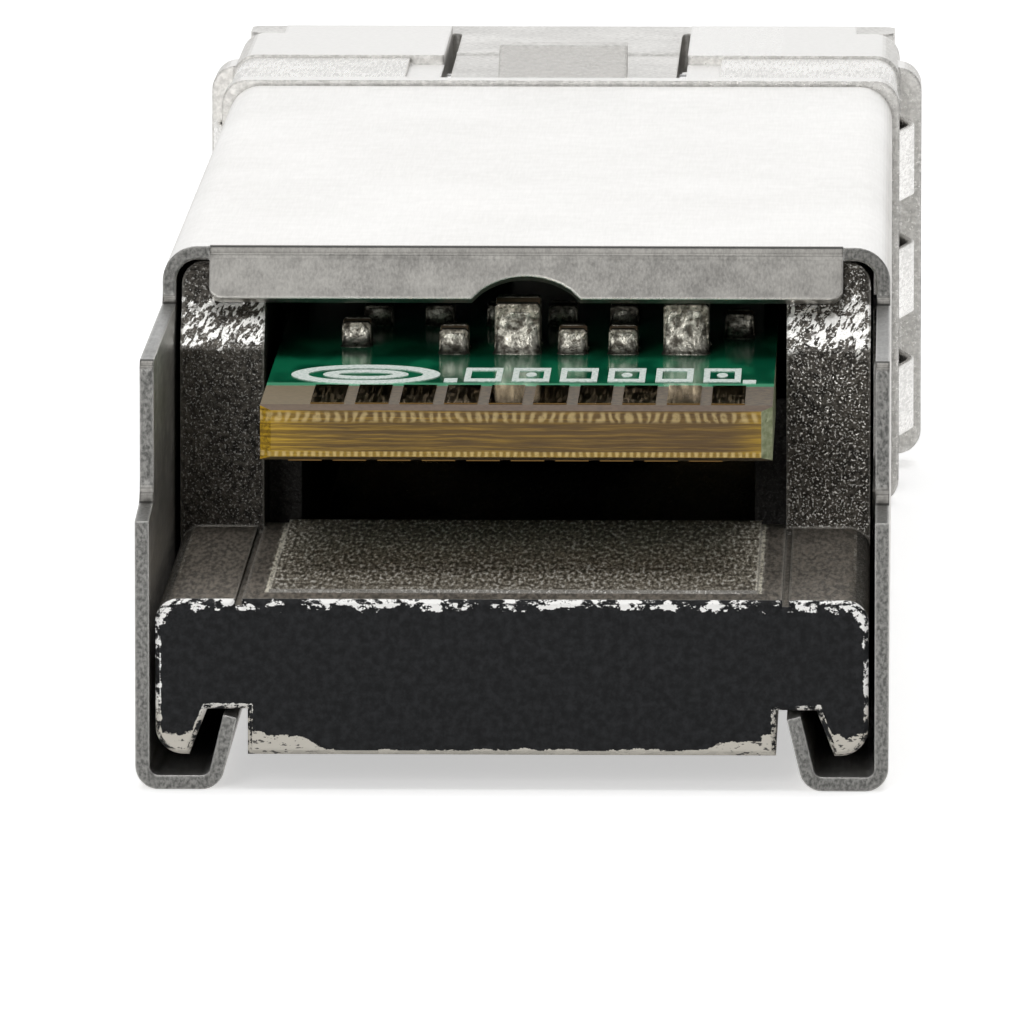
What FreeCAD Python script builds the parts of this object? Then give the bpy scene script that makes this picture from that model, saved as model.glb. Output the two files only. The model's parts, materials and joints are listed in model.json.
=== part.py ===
import FreeCAD, Part
import math
import os

# A small pluggable optical transceiver, in millimetres. It lies with its host-board side up: X across,
# depth forward from the card-edge end to the plug ports along +Y, Z up from the resting plane.

# Module envelope
MODULE_LENGTH = 56.5
COVER_WIDTH = 13.4
COVER_HEIGHT = 8.5
NOSE_LENGTH = 15.0
NOSE_RISE = 0.1
NOSE_SIDE_STEP = 0.15
ASSEMBLY_GAP = 0.05

# Folded cover
SHEET = 0.25
COVER_BEND = 0.4
HOOK_BEND = 0.17
HOOK_REACH = 1.5
HOOK_LEAN = 0.31
HOOK_RISE = 1.28
LIP_DROP = 0.92
LIP_RUN = 0.4
LIP_BEND = 0.1
LIP_CORNER = 0.22
LIP_INSET = 0.87
LIP_ROOT = 1.0
LIP_NOTCH_WIDTH = 1.66
LIP_NOTCH_DEPTH = 0.44
LIP_NOTCH_FLARE = 0.17
SKIRT_SETBACK = 2.0
SKIRT_DROP = 1.05
SKIRT_STEP_DROP = 3.55
SKIRT_STEP_FALL = 0.15
SKIRT_STEP_ROUND = 0.4
WINDOW_LENGTH = 2.4
WINDOW_HEIGHT = 1.3
WINDOW_FROM_NOSE = 5.0
WINDOW_DROP = 3.6

# Circuit board
BOARD_WIDTH = 9.2
BOARD_THICKNESS = 1.0
BOARD_DEPTH = 2.0
BOARD_SETBACK = 3.2
BOARD_SIDE_GAP = 0.2
BOARD_CORNER = 0.2
BOARD_BEVEL_LENGTH = 0.25
BOARD_BEVEL_DROP = 0.08

# Edge contacts
CONTACT_COUNT = 10
CONTACT_PITCH = 0.8
CONTACT_WIDTH = 0.6
CONTACT_LENGTH = 2.8
CONTACT_THICKNESS = 0.025
CONTACT_STAGGER = 0.2

# Die-cast tray
TRAY_SIDE_GAP = 0.11
TRAY_LIFT = 0.38
TRAY_FLOOR = 1.07
FOOT_ROUND = 0.5
SHELF_DROP = 2.09
SHELF_ROUND = 0.4
SHELF_OVERRUN = 0.6
REAR_EDGE = 0.08
SHELF_GROOVE_WIDTH = 0.12
SHELF_GROOVE_DEPTH = 0.12
PLATFORM_SETBACK = 1.0
PLATFORM_SIDE = 0.45
PLATFORM_RISE = 0.06
MOUTH_LENGTH = 10.4
POST_CHAMFER = 1.5
POST_LEDGE = 0.75
HOOK_SLOT_INNER_GAP = 0.19
HOOK_SLOT_OUTER_GAP = 0.28
HOOK_SLOT_FLARE = 0.32
HOOK_SLOT_ROOF_GAP = 0.04
LEDGE_WIDTH = 0.6
LEDGE_START = 2.6
LEDGE_END_GAP = 0.5
PEG_RADIUS = 0.5
PEG_RISE = 0.6
PEG_FROM_MOUTH = 9.6
OPTICS_BAY_LENGTH = 5.2
OPTICS_BAY_SIDE = 0.6

# Nose, plug ports and latch seat
NOSE_ROUND = 0.5
PORT_PITCH = 6.25
PORT_WIDTH = 4.6
PORT_HEIGHT = 4.6
PORT_DEPTH = 7.0
OPTICAL_AXIS_HEIGHT = 3.9
KEYWAY_WIDTH = 2.4
KEYWAY_DEPTH = 0.6
STOP_FROM_NOSE = 6.0
STOP_LENGTH = 1.5
STOP_PROUD = 0.45
STOP_TRIM = 0.3
CHEEK_LENGTH = 5.0
CHEEK_RELIEF = 0.9
BROW_LENGTH = 3.3
BROW_DROP = 1.2
CHANNEL_WALL = 0.6
CHANNEL_SIDE_GAP = 0.2
CHANNEL_DEPTH = 2.05

# Latch lever
LEVER_WIDTH = 4.6
LEVER_THICKNESS = 0.8
LEVER_INSET = 0.2
LEVER_END_GAP = 0.2
LEVER_CORNER = 0.3
PIVOT_FROM_NOSE = 7.5
LEVER_HUB_RADIUS = 0.85
LEVER_PIN_RADIUS = 0.4
PIN_CLEARANCE = 0.05
PIN_SEAT = 0.9
BOSS_WIDTH = 2.6
BOSS_RISE = 0.65
BOSS_RAMP = 1.8
BOSS_FLAT = 0.7
SHOULDER_FROM_NOSE = 3.5
BAR_LENGTH = 1.6
BAR_LEAD = 0.4
BAR_SIDE_TRIM = 0.1

# Leaf spring under the lever
LEAF_WIDTH = 2.0
LEAF_THICKNESS = 0.1
LEAF_FOOT = 0.9
LEAF_ARM = 3.4
LEAF_GAP = 0.1
LEAF_BEND = 0.3

# Bail
BAIL_PIVOT_SETBACK = 2.5
BAIL_PIVOT_DROP = 0.56
BAIL_SIDE_GAP = 0.05
BAIL_ARM_WIDTH = 0.85
BAIL_ARM_DEPTH = 1.0
BAIL_PIN_RADIUS = 0.35
BAIL_PIN_REACH = 1.0
BAIL_HUB_RADIUS = 1.0
BAIL_HUB_OFFSET = 0.45
BAIL_BAR_LENGTH = 1.0
BAIL_BAR_HEIGHT = 0.85
BAIL_BAR_GAP = 0.1
BAIL_BAR_LIFT = 0.05
BAIL_BAR_ROUND = 0.3

# Ground collar
COLLAR_SHEET = 0.12
COLLAR_RECESS = 0.2
COLLAR_START = 0.7
COLLAR_LENGTH = 4.6
COLLAR_PLAY = 0.03
COLLAR_BEND = 0.35
COLLAR_FLAP = 3.6
FINGER_COUNT = 3
FINGER_HEIGHT = 1.4
FINGER_PITCH = 2.4
FINGER_SLIT = 0.15
FINGER_ROOT = 0.6
FINGER_BOW = 0.4
FINGER_BEND = 2.4

# Optical subassemblies
CAN_RADIUS = 2.0
CAN_LENGTH = 2.25
CAN_BRIM = 0.15
CAN_BRIM_LENGTH = 0.5
FLANGE_RADIUS = 2.2
FLANGE_LENGTH = 0.8
HOLDER_LENGTH = 1.0
HOLDER_SIDE_GAP = 0.1
HOLDER_TOP_DROP = 0.8
BARREL_RADIUS = 1.45
BARREL_TIP = 2.1
SLEEVE_LENGTH = 6.0
SLEEVE_RADIUS = 1.0
FERRULE_RADIUS = 0.63
SLEEVE_PLAY = 0.01

# Flexible printed strips
FLEX_WIDTH = 3.2
FLEX_THICKNESS = 0.12
FLEX_BEND = 0.4
FLEX_LAP = 2.1
FLEX_REACH = 1.9
FLEX_TAIL = 1.5
FLEX_GAP = 0.03

# Parts on the board
CHIP_SIZE = 3.0
CHIP_HEIGHT = 0.8
CHIP_SPREAD = 4.4
CHIP_FROM_FLEX = 1.4
CONTROLLER_SIZE = 5.0
CONTROLLER_HEIGHT = 0.9
CONTROLLER_FROM_LEDGE = 8.5
PAD_INSET = 0.2
CHIP_PART_FROM_MOUTH = 1.1
TERMINAL_SHARE = 0.24
TERMINAL_PROUD = 0.02
TERMINAL_BEVEL = 0.06
LARGE_CAPACITOR = (0.8, 1.6, 0.9)
LARGE_CAPACITOR_PLACES = ((-0.17, 0.0), (2.94, 0.0))
SMALL_CAPACITOR = (0.5, 1.0, 0.43)
SMALL_CAPACITOR_PLACES = ((-3.17, 1.1), (-1.34, 0.0), (0.85, 0.0), (1.78, 0.0), (3.9, 2.6))
CHIP_RESISTOR = (0.5, 1.0, 0.35)
CHIP_RESISTOR_COUNT = 6
CHIP_RESISTOR_SPACING = 1.15
CHIP_RESISTOR_ROW = 4.6

# Heights worked out from the sizes above
NOSE_HEIGHT = COVER_HEIGHT + NOSE_RISE
BOARD_TOP = COVER_HEIGHT - BOARD_DEPTH
BOARD_UNDERSIDE = BOARD_TOP - BOARD_THICKNESS
TRAY_BOTTOM = SHEET + TRAY_LIFT
CAVITY_FLOOR = TRAY_BOTTOM + TRAY_FLOOR
SHELF_TOP = BOARD_UNDERSIDE - SHELF_DROP
WALL_TOP = COVER_HEIGHT - SHEET - ASSEMBLY_GAP
BROW_TOP = NOSE_HEIGHT - BROW_DROP
CHANNEL_FLOOR = NOSE_HEIGHT - CHANNEL_DEPTH
LEVER_TOP = NOSE_HEIGHT - LEVER_INSET
LEVER_UNDERSIDE = LEVER_TOP - LEVER_THICKNESS
BAIL_PIVOT_HEIGHT = BROW_TOP - BAIL_PIVOT_DROP

# Half widths
COVER_HALF = COVER_WIDTH / 2
TRAY_HALF = COVER_HALF - SHEET - TRAY_SIDE_GAP
BOARD_HALF = BOARD_WIDTH / 2
CAVITY_HALF = BOARD_HALF + BOARD_SIDE_GAP
BAY_HALF = CAVITY_HALF + OPTICS_BAY_SIDE
NOSE_HALF = COVER_HALF + NOSE_SIDE_STEP
CHEEK_HALF = NOSE_HALF - CHEEK_RELIEF
CHANNEL_HALF = LEVER_WIDTH / 2 + CHANNEL_SIDE_GAP
PORT_X = PORT_PITCH / 2

# Depths, counted forward from the rear end
NOSE_START = MODULE_LENGTH - NOSE_LENGTH
COVER_FRONT = NOSE_START - 4 * ASSEMBLY_GAP
PORT_BOTTOM_DEPTH = MODULE_LENGTH - PORT_DEPTH
CHANNEL_START = NOSE_START + CHANNEL_WALL
LEVER_START = CHANNEL_START + LEVER_END_GAP
PIVOT_DEPTH = NOSE_START + PIVOT_FROM_NOSE
SHOULDER_DEPTH = NOSE_START + SHOULDER_FROM_NOSE
BAIL_PIVOT_DEPTH = MODULE_LENGTH - BAIL_PIVOT_SETBACK
BAR_REAR = BAIL_PIVOT_DEPTH - BAR_LEAD
BAIL_BAR_REAR = MODULE_LENGTH + BAIL_BAR_GAP
BAIL_BAR_FRONT = BAIL_BAR_REAR + BAIL_BAR_LENGTH
HOLDER_FRONT = NOSE_START - ASSEMBLY_GAP
FLANGE_FRONT = HOLDER_FRONT - HOLDER_LENGTH
CAN_FRONT = FLANGE_FRONT - FLANGE_LENGTH
CAN_REAR = CAN_FRONT - CAN_LENGTH
BOARD_FRONT = CAN_REAR - FLEX_REACH
LEDGE_REAR = MOUTH_LENGTH + LEDGE_START
PEG_DEPTH = MOUTH_LENGTH + PEG_FROM_MOUTH
SHELF_FRONT = MOUTH_LENGTH + SHELF_OVERRUN
FLEX_START = BOARD_FRONT - FLEX_LAP
CHIP_FRONT = FLEX_START - CHIP_FROM_FLEX

# The lip lies along the posts' upper faces with the assembly gap between them
LEDGE_TOP = WALL_TOP - POST_CHAMFER + POST_LEDGE
LEDGE_FRONT = MOUTH_LENGTH + POST_LEDGE
LIP_LENGTH = math.hypot(LIP_RUN, LIP_DROP)
LIP_SLOPE = LIP_RUN / LIP_DROP
POST_TOP_DEPTH = LEDGE_FRONT + (WALL_TOP - LEDGE_TOP) * LIP_SLOPE
LIP_BEND_DEPTH = (LEDGE_FRONT + (COVER_HEIGHT - LEDGE_TOP) * LIP_SLOPE
                  - (SHEET + ASSEMBLY_GAP) * LIP_LENGTH / LIP_DROP)

# The frame's origin is at the middle of the length, bail included
OVERALL_LENGTH = BAIL_BAR_FRONT

LEFT = -1
RIGHT = 1
SIDES = (LEFT, RIGHT)
PAST = 1.0


def on_plane(plane, offset, a, b):
    """A point of a flat outline: XZ lies across the module, YZ along it, XY is a plan."""
    if plane == "XZ":
        return FreeCAD.Vector(a, offset, b)
    if plane == "YZ":
        return FreeCAD.Vector(offset, a, b)
    return FreeCAD.Vector(a, b, offset)


def along(plane, length):
    """The direction that an outline on this plane is drawn out along."""
    return on_plane(plane, length, 0, 0)


def corner_arc(before, corner, after, radius):
    """Start, middle and end of the tangent arc that rounds a corner."""
    first = (before - corner).normalize()
    second = (after - corner).normalize()
    half_angle = first.getAngle(second) / 2
    setback = radius / math.tan(half_angle)
    inward = (first + second).normalize()
    middle = corner + inward * (radius / math.sin(half_angle) - radius)
    return corner + first * setback, middle, corner + second * setback


def outline_face(points, plane, offset):
    """A face bounded by straight runs; a point with a third value has its corner rounded to that radius."""
    corners = [on_plane(plane, offset, point[0], point[1]) for point in points]
    radii = [point[2] if len(point) > 2 else 0 for point in points]
    edges = []
    stops = []
    for index, corner in enumerate(corners):
        after = corners[(index + 1) % len(corners)]
        if radii[index] > 0:
            stops.append(corner_arc(corners[index - 1], corner, after, radii[index]))
        else:
            stops.append((corner, None, corner))
    for index, (start, middle, end) in enumerate(stops):
        following = stops[(index + 1) % len(stops)][0]
        if middle is not None:
            edges.append(Part.Arc(start, middle, end).toShape())
        edges.append(Part.LineSegment(end, following).toShape())
    return Part.Face(Part.Wire(edges))


def prism(points, plane, start, end):
    """A solid drawn from an outline between two offsets of its plane."""
    return outline_face(points, plane, start).extrude(along(plane, end - start))


def block(x_low, x_high, y_low, y_high, z_low, z_high):
    """A square-edged solid between two corners."""
    return Part.makeBox(x_high - x_low, y_high - y_low, z_high - z_low,
                        FreeCAD.Vector(x_low, y_low, z_low))


def cross_rod(radius, x_low, x_high, y, z):
    """A round rod across the module."""
    return Part.makeCylinder(radius, x_high - x_low, FreeCAD.Vector(x_low, y, z), FreeCAD.Vector(1, 0, 0))


def long_rod(radius, y_low, y_high, x, z):
    """A round rod along the module."""
    return Part.makeCylinder(radius, y_high - y_low, FreeCAD.Vector(x, y_low, z), FreeCAD.Vector(0, 1, 0))


def mirrored(shape):
    """The same shape on the other side of the module."""
    return shape.mirror(FreeCAD.Vector(0, 0, 0), FreeCAD.Vector(1, 0, 0))


def side_span(side, inner, outer):
    """Low and high x of a span that is given by its distance from the middle."""
    return min(side * inner, side * outer), max(side * inner, side * outer)


def run_direction(first, second):
    """The unit direction of a straight run between two points of a path."""
    length = math.hypot(second[0] - first[0], second[1] - first[1])
    return (second[0] - first[0]) / length, (second[1] - first[1]) / length


def folded_sheet(path, thickness, plane, start, end):
    """A bent strip: the path (a, b, inside bend radius) is one face and the metal lies on its left."""
    runs = [run_direction(path[index], path[index + 1]) for index in range(len(path) - 1)]
    near = []
    far = []
    for index, (a, b, bend) in enumerate(path):
        arriving = runs[max(index - 1, 0)]
        leaving = runs[min(index, len(runs) - 1)]
        turn = arriving[0] * leaving[1] - arriving[1] * leaving[0]
        facing = arriving[0] * leaving[0] + arriving[1] * leaving[1]
        spread = (1 - facing) / turn if turn else 0
        offset_a = -arriving[1] - arriving[0] * spread
        offset_b = arriving[0] - arriving[1] * spread
        outside_bend = bend + thickness if bend else 0
        near.append((a, b, outside_bend if turn > 0 else bend))
        far.append((a + offset_a * thickness, b + offset_b * thickness, bend if turn > 0 else outside_bend))
    return prism(near + far[::-1], plane, start, end)


def joined(shapes):
    """One solid from pieces that overlap or share faces."""
    first = shapes[0]
    return first.fuse(shapes[1:]).removeSplitter()


def cover_channel():
    """The cover's long fold: hook, side, top, side, hook."""
    hook_foot = COVER_HALF - HOOK_REACH
    half = [(hook_foot - HOOK_LEAN, HOOK_RISE, 0), (hook_foot, 0, HOOK_BEND), (COVER_HALF, 0, HOOK_BEND),
            (COVER_HALF, COVER_HEIGHT, COVER_BEND)]
    path = half + [(-x, z, bend) for x, z, bend in half[::-1]]
    return folded_sheet(path, SHEET, "XZ", 0, COVER_FRONT)


def cover_rear_cut():
    """Side view of what is open at the rear: over the card edge and behind the skirts."""
    skirt_top = COVER_HEIGHT - SKIRT_DROP
    step = COVER_HEIGHT - SKIRT_STEP_DROP
    outline = [(-PAST, COVER_HEIGHT + PAST), (LIP_BEND_DEPTH, COVER_HEIGHT + PAST),
               (LIP_BEND_DEPTH, skirt_top, LIP_CORNER), (SKIRT_SETBACK, skirt_top, LIP_CORNER),
               (SKIRT_SETBACK, step, SKIRT_STEP_ROUND), (0, step - SKIRT_STEP_FALL),
               (-PAST, step - SKIRT_STEP_FALL)]
    return prism(outline, "YZ", -COVER_HALF - PAST, COVER_HALF + PAST)


def lip_point(across, up_slope):
    """A point on the lip's outer face, counted up the slope from its free edge."""
    share = 1 - up_slope / LIP_LENGTH
    return FreeCAD.Vector(across, LIP_BEND_DEPTH - LIP_RUN * share, COVER_HEIGHT - LIP_DROP * share)


def lip_notch():
    """The arched notch in the middle of the lip's free edge, with flared ends."""
    half = LIP_NOTCH_WIDTH / 2
    half_flared = half + LIP_NOTCH_FLARE
    edges = [Part.LineSegment(lip_point(half_flared, -PAST), lip_point(-half_flared, -PAST)).toShape(),
             Part.LineSegment(lip_point(-half_flared, -PAST), lip_point(-half_flared, 0)).toShape(),
             Part.LineSegment(lip_point(-half_flared, 0), lip_point(-half, LIP_NOTCH_FLARE)).toShape(),
             Part.Arc(lip_point(-half, LIP_NOTCH_FLARE), lip_point(0, LIP_NOTCH_DEPTH),
                      lip_point(half, LIP_NOTCH_FLARE)).toShape(),
             Part.LineSegment(lip_point(half, LIP_NOTCH_FLARE), lip_point(half_flared, 0)).toShape(),
             Part.LineSegment(lip_point(half_flared, 0), lip_point(half_flared, -PAST)).toShape()]
    outward = FreeCAD.Vector(0, -LIP_DROP, LIP_RUN).normalize()
    face = Part.Face(Part.Wire(edges))
    face.translate(outward * SHEET)
    return face.extrude(outward * (-3 * SHEET))


def cover_lip():
    """The sloping lip at the rear edge of the cover's top, with rounded free corners."""
    half = COVER_HALF - LIP_INSET
    path = [(LIP_BEND_DEPTH + LIP_ROOT, COVER_HEIGHT, 0), (LIP_BEND_DEPTH, COVER_HEIGHT, LIP_BEND),
            (LIP_BEND_DEPTH - LIP_RUN, COVER_HEIGHT - LIP_DROP, 0)]
    strip = folded_sheet(path, SHEET, "YZ", -half, half)
    free_corners = [edge for edge in strip.Edges
                    if edge.BoundBox.XLength < ASSEMBLY_GAP and edge.BoundBox.YLength > ASSEMBLY_GAP
                    and edge.BoundBox.ZMax < COVER_HEIGHT - LIP_DROP + ASSEMBLY_GAP]
    rounded = strip.makeFillet(LIP_CORNER, free_corners)
    return rounded.cut(lip_notch())


def cover_window(side):
    """The snap window in the cover's side, over the tray's catch."""
    x_low, x_high = side_span(side, COVER_HALF - SHEET - ASSEMBLY_GAP, COVER_HALF + PAST)
    front = COVER_FRONT - WINDOW_FROM_NOSE
    top = COVER_HEIGHT - WINDOW_DROP
    return block(x_low, x_high, front - WINDOW_LENGTH, front, top - WINDOW_HEIGHT, top)


def top_cover():
    """The whole folded cover as one sheet."""
    half = COVER_HALF - LIP_INSET
    lip_seat = block(-half, half, 0, LIP_BEND_DEPTH + LIP_ROOT, WALL_TOP, COVER_HEIGHT + PAST)
    channel = cover_channel().cut(cover_rear_cut()).cut(lip_seat)
    for side in SIDES:
        channel = channel.cut(cover_window(side))
    return joined([channel, cover_lip()])


def circuit_board():
    """The card-edge board, bevelled at its rear end and notched for the tray's pegs."""
    half = BOARD_HALF
    rear = BOARD_SETBACK
    plan = [(-half + BOARD_CORNER, rear), (half - BOARD_CORNER, rear), (half, rear + BOARD_CORNER),
            (half, BOARD_FRONT), (-half, BOARD_FRONT), (-half, rear + BOARD_CORNER)]
    board = prism(plan, "XY", BOARD_UNDERSIDE, BOARD_TOP)
    lower_bevel = [(rear, BOARD_UNDERSIDE), (rear + BOARD_BEVEL_LENGTH, BOARD_UNDERSIDE),
                   (rear, BOARD_UNDERSIDE + BOARD_BEVEL_DROP)]
    upper_bevel = [(rear, BOARD_TOP), (rear + BOARD_BEVEL_LENGTH, BOARD_TOP), (rear, BOARD_TOP - BOARD_BEVEL_DROP)]
    for bevel in (lower_bevel, upper_bevel):
        board = board.cut(prism(bevel, "YZ", -half, half))
    for side in SIDES:
        notch = Part.makeCylinder(PEG_RADIUS + PIN_CLEARANCE, BOARD_THICKNESS,
                                  FreeCAD.Vector(side * CAVITY_HALF, PEG_DEPTH, BOARD_UNDERSIDE))
        board = board.cut(notch)
    return board


def edge_contacts(face_low, stagger):
    """A row of flat contacts on one face of the card edge."""
    rear = BOARD_SETBACK + BOARD_BEVEL_LENGTH + ASSEMBLY_GAP
    contacts = []
    for index in range(CONTACT_COUNT):
        middle = (index - (CONTACT_COUNT - 1) / 2) * CONTACT_PITCH + stagger
        contacts.append(block(middle - CONTACT_WIDTH / 2, middle + CONTACT_WIDTH / 2, rear, rear + CONTACT_LENGTH,
                              face_low, face_low + CONTACT_THICKNESS))
    return Part.makeCompound(contacts)


def hook_slot(side):
    """The groove under the tray that takes the cover's hook, flared at its mouth."""
    leg_top = COVER_HALF - HOOK_REACH - HOOK_LEAN
    roof = HOOK_RISE + SHEET / 2 + HOOK_SLOT_ROOF_GAP
    inner = leg_top - HOOK_SLOT_INNER_GAP
    outer = leg_top + SHEET + HOOK_SLOT_OUTER_GAP
    outline = [(side * inner, TRAY_BOTTOM - PAST), (side * inner, roof), (side * outer, roof),
               (side * (outer + HOOK_SLOT_FLARE), TRAY_BOTTOM), (side * (outer + HOOK_SLOT_FLARE), TRAY_BOTTOM - PAST)]
    return prism(outline, "XZ", -PAST, NOSE_START)


def shelf_groove(side):
    """The fine groove along the shelf, in line with the inside of the posts."""
    x_low, x_high = side_span(side, CAVITY_HALF, CAVITY_HALF + SHELF_GROOVE_WIDTH)
    return block(x_low, x_high, -PAST, MOUTH_LENGTH, SHELF_TOP - SHELF_GROOVE_DEPTH, SHELF_TOP + PAST)


def tray_catch(side):
    """The wedge on the tray's side that snaps into the cover's window."""
    front = COVER_FRONT - WINDOW_FROM_NOSE - ASSEMBLY_GAP
    rear = front - WINDOW_LENGTH + 2 * ASSEMBLY_GAP
    top = COVER_HEIGHT - WINDOW_DROP - ASSEMBLY_GAP
    outline = [(side * (TRAY_HALF - PAST), top), (side * COVER_HALF, top),
               (side * TRAY_HALF, top - WINDOW_HEIGHT + 2 * ASSEMBLY_GAP),
               (side * (TRAY_HALF - PAST), top - WINDOW_HEIGHT + 2 * ASSEMBLY_GAP)]
    return prism(outline, "XZ", rear, front)


def tray_body():
    """The outside of the tray: low rear block, full-height walls behind the posts, side catches."""
    rear_face = [(-TRAY_HALF, TRAY_BOTTOM, FOOT_ROUND), (TRAY_HALF, TRAY_BOTTOM, FOOT_ROUND),
                 (TRAY_HALF, SHELF_TOP, SHELF_ROUND), (-TRAY_HALF, SHELF_TOP, SHELF_ROUND)]
    wall_face = [(-TRAY_HALF, TRAY_BOTTOM, FOOT_ROUND), (TRAY_HALF, TRAY_BOTTOM, FOOT_ROUND),
                 (TRAY_HALF, WALL_TOP, COVER_BEND), (-TRAY_HALF, WALL_TOP, COVER_BEND)]
    rear_block = prism(rear_face, "XZ", 0, MOUTH_LENGTH)
    walls = prism(wall_face, "XZ", MOUTH_LENGTH, NOSE_START)
    chamfer = [(MOUTH_LENGTH, WALL_TOP - POST_CHAMFER), (LEDGE_FRONT, LEDGE_TOP), (POST_TOP_DEPTH, WALL_TOP),
               (MOUTH_LENGTH, WALL_TOP)]
    walls = walls.cut(prism(chamfer, "YZ", -TRAY_HALF, TRAY_HALF))
    return joined([rear_block, walls] + [tray_catch(side) for side in SIDES])


def tray():
    """The hollow tray with its board ledges, locating pegs and hook slots."""
    over = COVER_HEIGHT + PAST
    cuts = [block(-CAVITY_HALF, CAVITY_HALF, SHELF_FRONT, NOSE_START, CAVITY_FLOOR, over),
            block(-CAVITY_HALF, CAVITY_HALF, MOUTH_LENGTH, SHELF_FRONT, SHELF_TOP, over),
            block(-BAY_HALF, BAY_HALF, NOSE_START - OPTICS_BAY_LENGTH, NOSE_START, CAVITY_FLOOR, over)]
    for side in SIDES:
        cuts.append(hook_slot(side))
        cuts.append(shelf_groove(side))
    body = tray_body().cut(cuts)
    rear_edges = [edge for edge in body.Edges if edge.BoundBox.YMax < REAR_EDGE]
    body = body.makeChamfer(REAR_EDGE, rear_edges)
    platform_half = CAVITY_HALF - PLATFORM_SIDE
    fittings = [block(-platform_half, platform_half, PLATFORM_SETBACK, SHELF_FRONT,
                      SHELF_TOP - PLATFORM_RISE, SHELF_TOP + PLATFORM_RISE)]
    for side in SIDES:
        x_low, x_high = side_span(side, CAVITY_HALF - LEDGE_WIDTH, CAVITY_HALF + ASSEMBLY_GAP)
        fittings.append(block(x_low, x_high, LEDGE_REAR, BOARD_FRONT - LEDGE_END_GAP, CAVITY_FLOOR, BOARD_UNDERSIDE))
        fittings.append(Part.makeCylinder(PEG_RADIUS, BOARD_THICKNESS + PEG_RISE,
                                          FreeCAD.Vector(side * CAVITY_HALF, PEG_DEPTH, BOARD_UNDERSIDE)))
    return joined([body] + fittings)


def port_cuts(side):
    """One plug port, its latch keyway and the bore behind it for the barrel."""
    middle = side * PORT_X
    floor = OPTICAL_AXIS_HEIGHT - PORT_HEIGHT / 2
    front = MODULE_LENGTH + PAST
    socket = block(middle - PORT_WIDTH / 2, middle + PORT_WIDTH / 2, PORT_BOTTOM_DEPTH, front,
                   floor, floor + PORT_HEIGHT)
    keyway = block(middle - KEYWAY_WIDTH / 2, middle + KEYWAY_WIDTH / 2, PORT_BOTTOM_DEPTH, front,
                   floor - KEYWAY_DEPTH, floor + PAST)
    bore = long_rod(BARREL_RADIUS + ASSEMBLY_GAP, NOSE_START - PAST, PORT_BOTTOM_DEPTH + PAST,
                    middle, OPTICAL_AXIS_HEIGHT)
    return [socket, keyway, bore]


def latch_cuts():
    """The lever's channel, the seats of its pin, and the low brow that the bar lies over."""
    channel_end = PIVOT_DEPTH + LEVER_HUB_RADIUS + ASSEMBLY_GAP
    over = NOSE_HEIGHT + PAST
    seat_half = CHANNEL_HALF + PIN_SEAT
    return [block(-CHANNEL_HALF, CHANNEL_HALF, CHANNEL_START, channel_end, CHANNEL_FLOOR, over),
            block(-CHANNEL_HALF, CHANNEL_HALF, CHANNEL_START, MODULE_LENGTH + PAST, BROW_TOP, over),
            block(-NOSE_HALF, NOSE_HALF, MODULE_LENGTH - BROW_LENGTH, MODULE_LENGTH + PAST, BROW_TOP, over),
            cross_rod(LEVER_PIN_RADIUS + SLEEVE_PLAY, -seat_half, seat_half, PIVOT_DEPTH, LEVER_UNDERSIDE)]


def cheek_cuts(side):
    """The relief beside the ports for the bail's arm, and the hole for its pin."""
    x_low, x_high = side_span(side, CHEEK_HALF, NOSE_HALF + STOP_PROUD + PAST)
    relief = block(x_low, x_high, MODULE_LENGTH - CHEEK_LENGTH, MODULE_LENGTH + PAST, -PAST, NOSE_HEIGHT + PAST)
    x_low, x_high = side_span(side, CHEEK_HALF - BAIL_PIN_REACH - ASSEMBLY_GAP, CHEEK_HALF + PAST)
    hole = cross_rod(BAIL_PIN_RADIUS + PIN_CLEARANCE, x_low, x_high, BAIL_PIVOT_DEPTH, BAIL_PIVOT_HEIGHT)
    return [relief, hole]


def collar_recess():
    """The shallow band round the nose that the ground collar lies in."""
    rear = NOSE_START + COLLAR_START
    outer = block(-NOSE_HALF - PAST, NOSE_HALF + PAST, rear, rear + COLLAR_LENGTH, -PAST, NOSE_HEIGHT + PAST)
    half = NOSE_HALF - COLLAR_RECESS
    high = NOSE_HEIGHT - COLLAR_RECESS
    seat = [(-half, COLLAR_RECESS, COLLAR_BEND), (half, COLLAR_RECESS, COLLAR_BEND),
            (half, high, COLLAR_BEND), (-half, high, COLLAR_BEND)]
    return outer.cut(prism(seat, "XZ", rear, rear + COLLAR_LENGTH))


def nose():
    """The front block with its stop flanges, ports and latch seat."""
    face = [(-NOSE_HALF, 0, NOSE_ROUND), (NOSE_HALF, 0, NOSE_ROUND),
            (NOSE_HALF, NOSE_HEIGHT, NOSE_ROUND), (-NOSE_HALF, NOSE_HEIGHT, NOSE_ROUND)]
    flange_half = NOSE_HALF + STOP_PROUD
    flange_face = [(-flange_half, STOP_TRIM, NOSE_ROUND), (flange_half, STOP_TRIM, NOSE_ROUND),
                   (flange_half, NOSE_HEIGHT - STOP_TRIM, NOSE_ROUND),
                   (-flange_half, NOSE_HEIGHT - STOP_TRIM, NOSE_ROUND)]
    flange_rear = NOSE_START + STOP_FROM_NOSE
    solid = joined([prism(face, "XZ", NOSE_START, MODULE_LENGTH),
                    prism(flange_face, "XZ", flange_rear, flange_rear + STOP_LENGTH)])
    cuts = latch_cuts() + [collar_recess()]
    for side in SIDES:
        cuts = cuts + port_cuts(side) + cheek_cuts(side)
    return solid.cut(cuts)


def base_housing():
    """Tray and nose, cast in one piece."""
    return joined([tray(), nose()])


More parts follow.
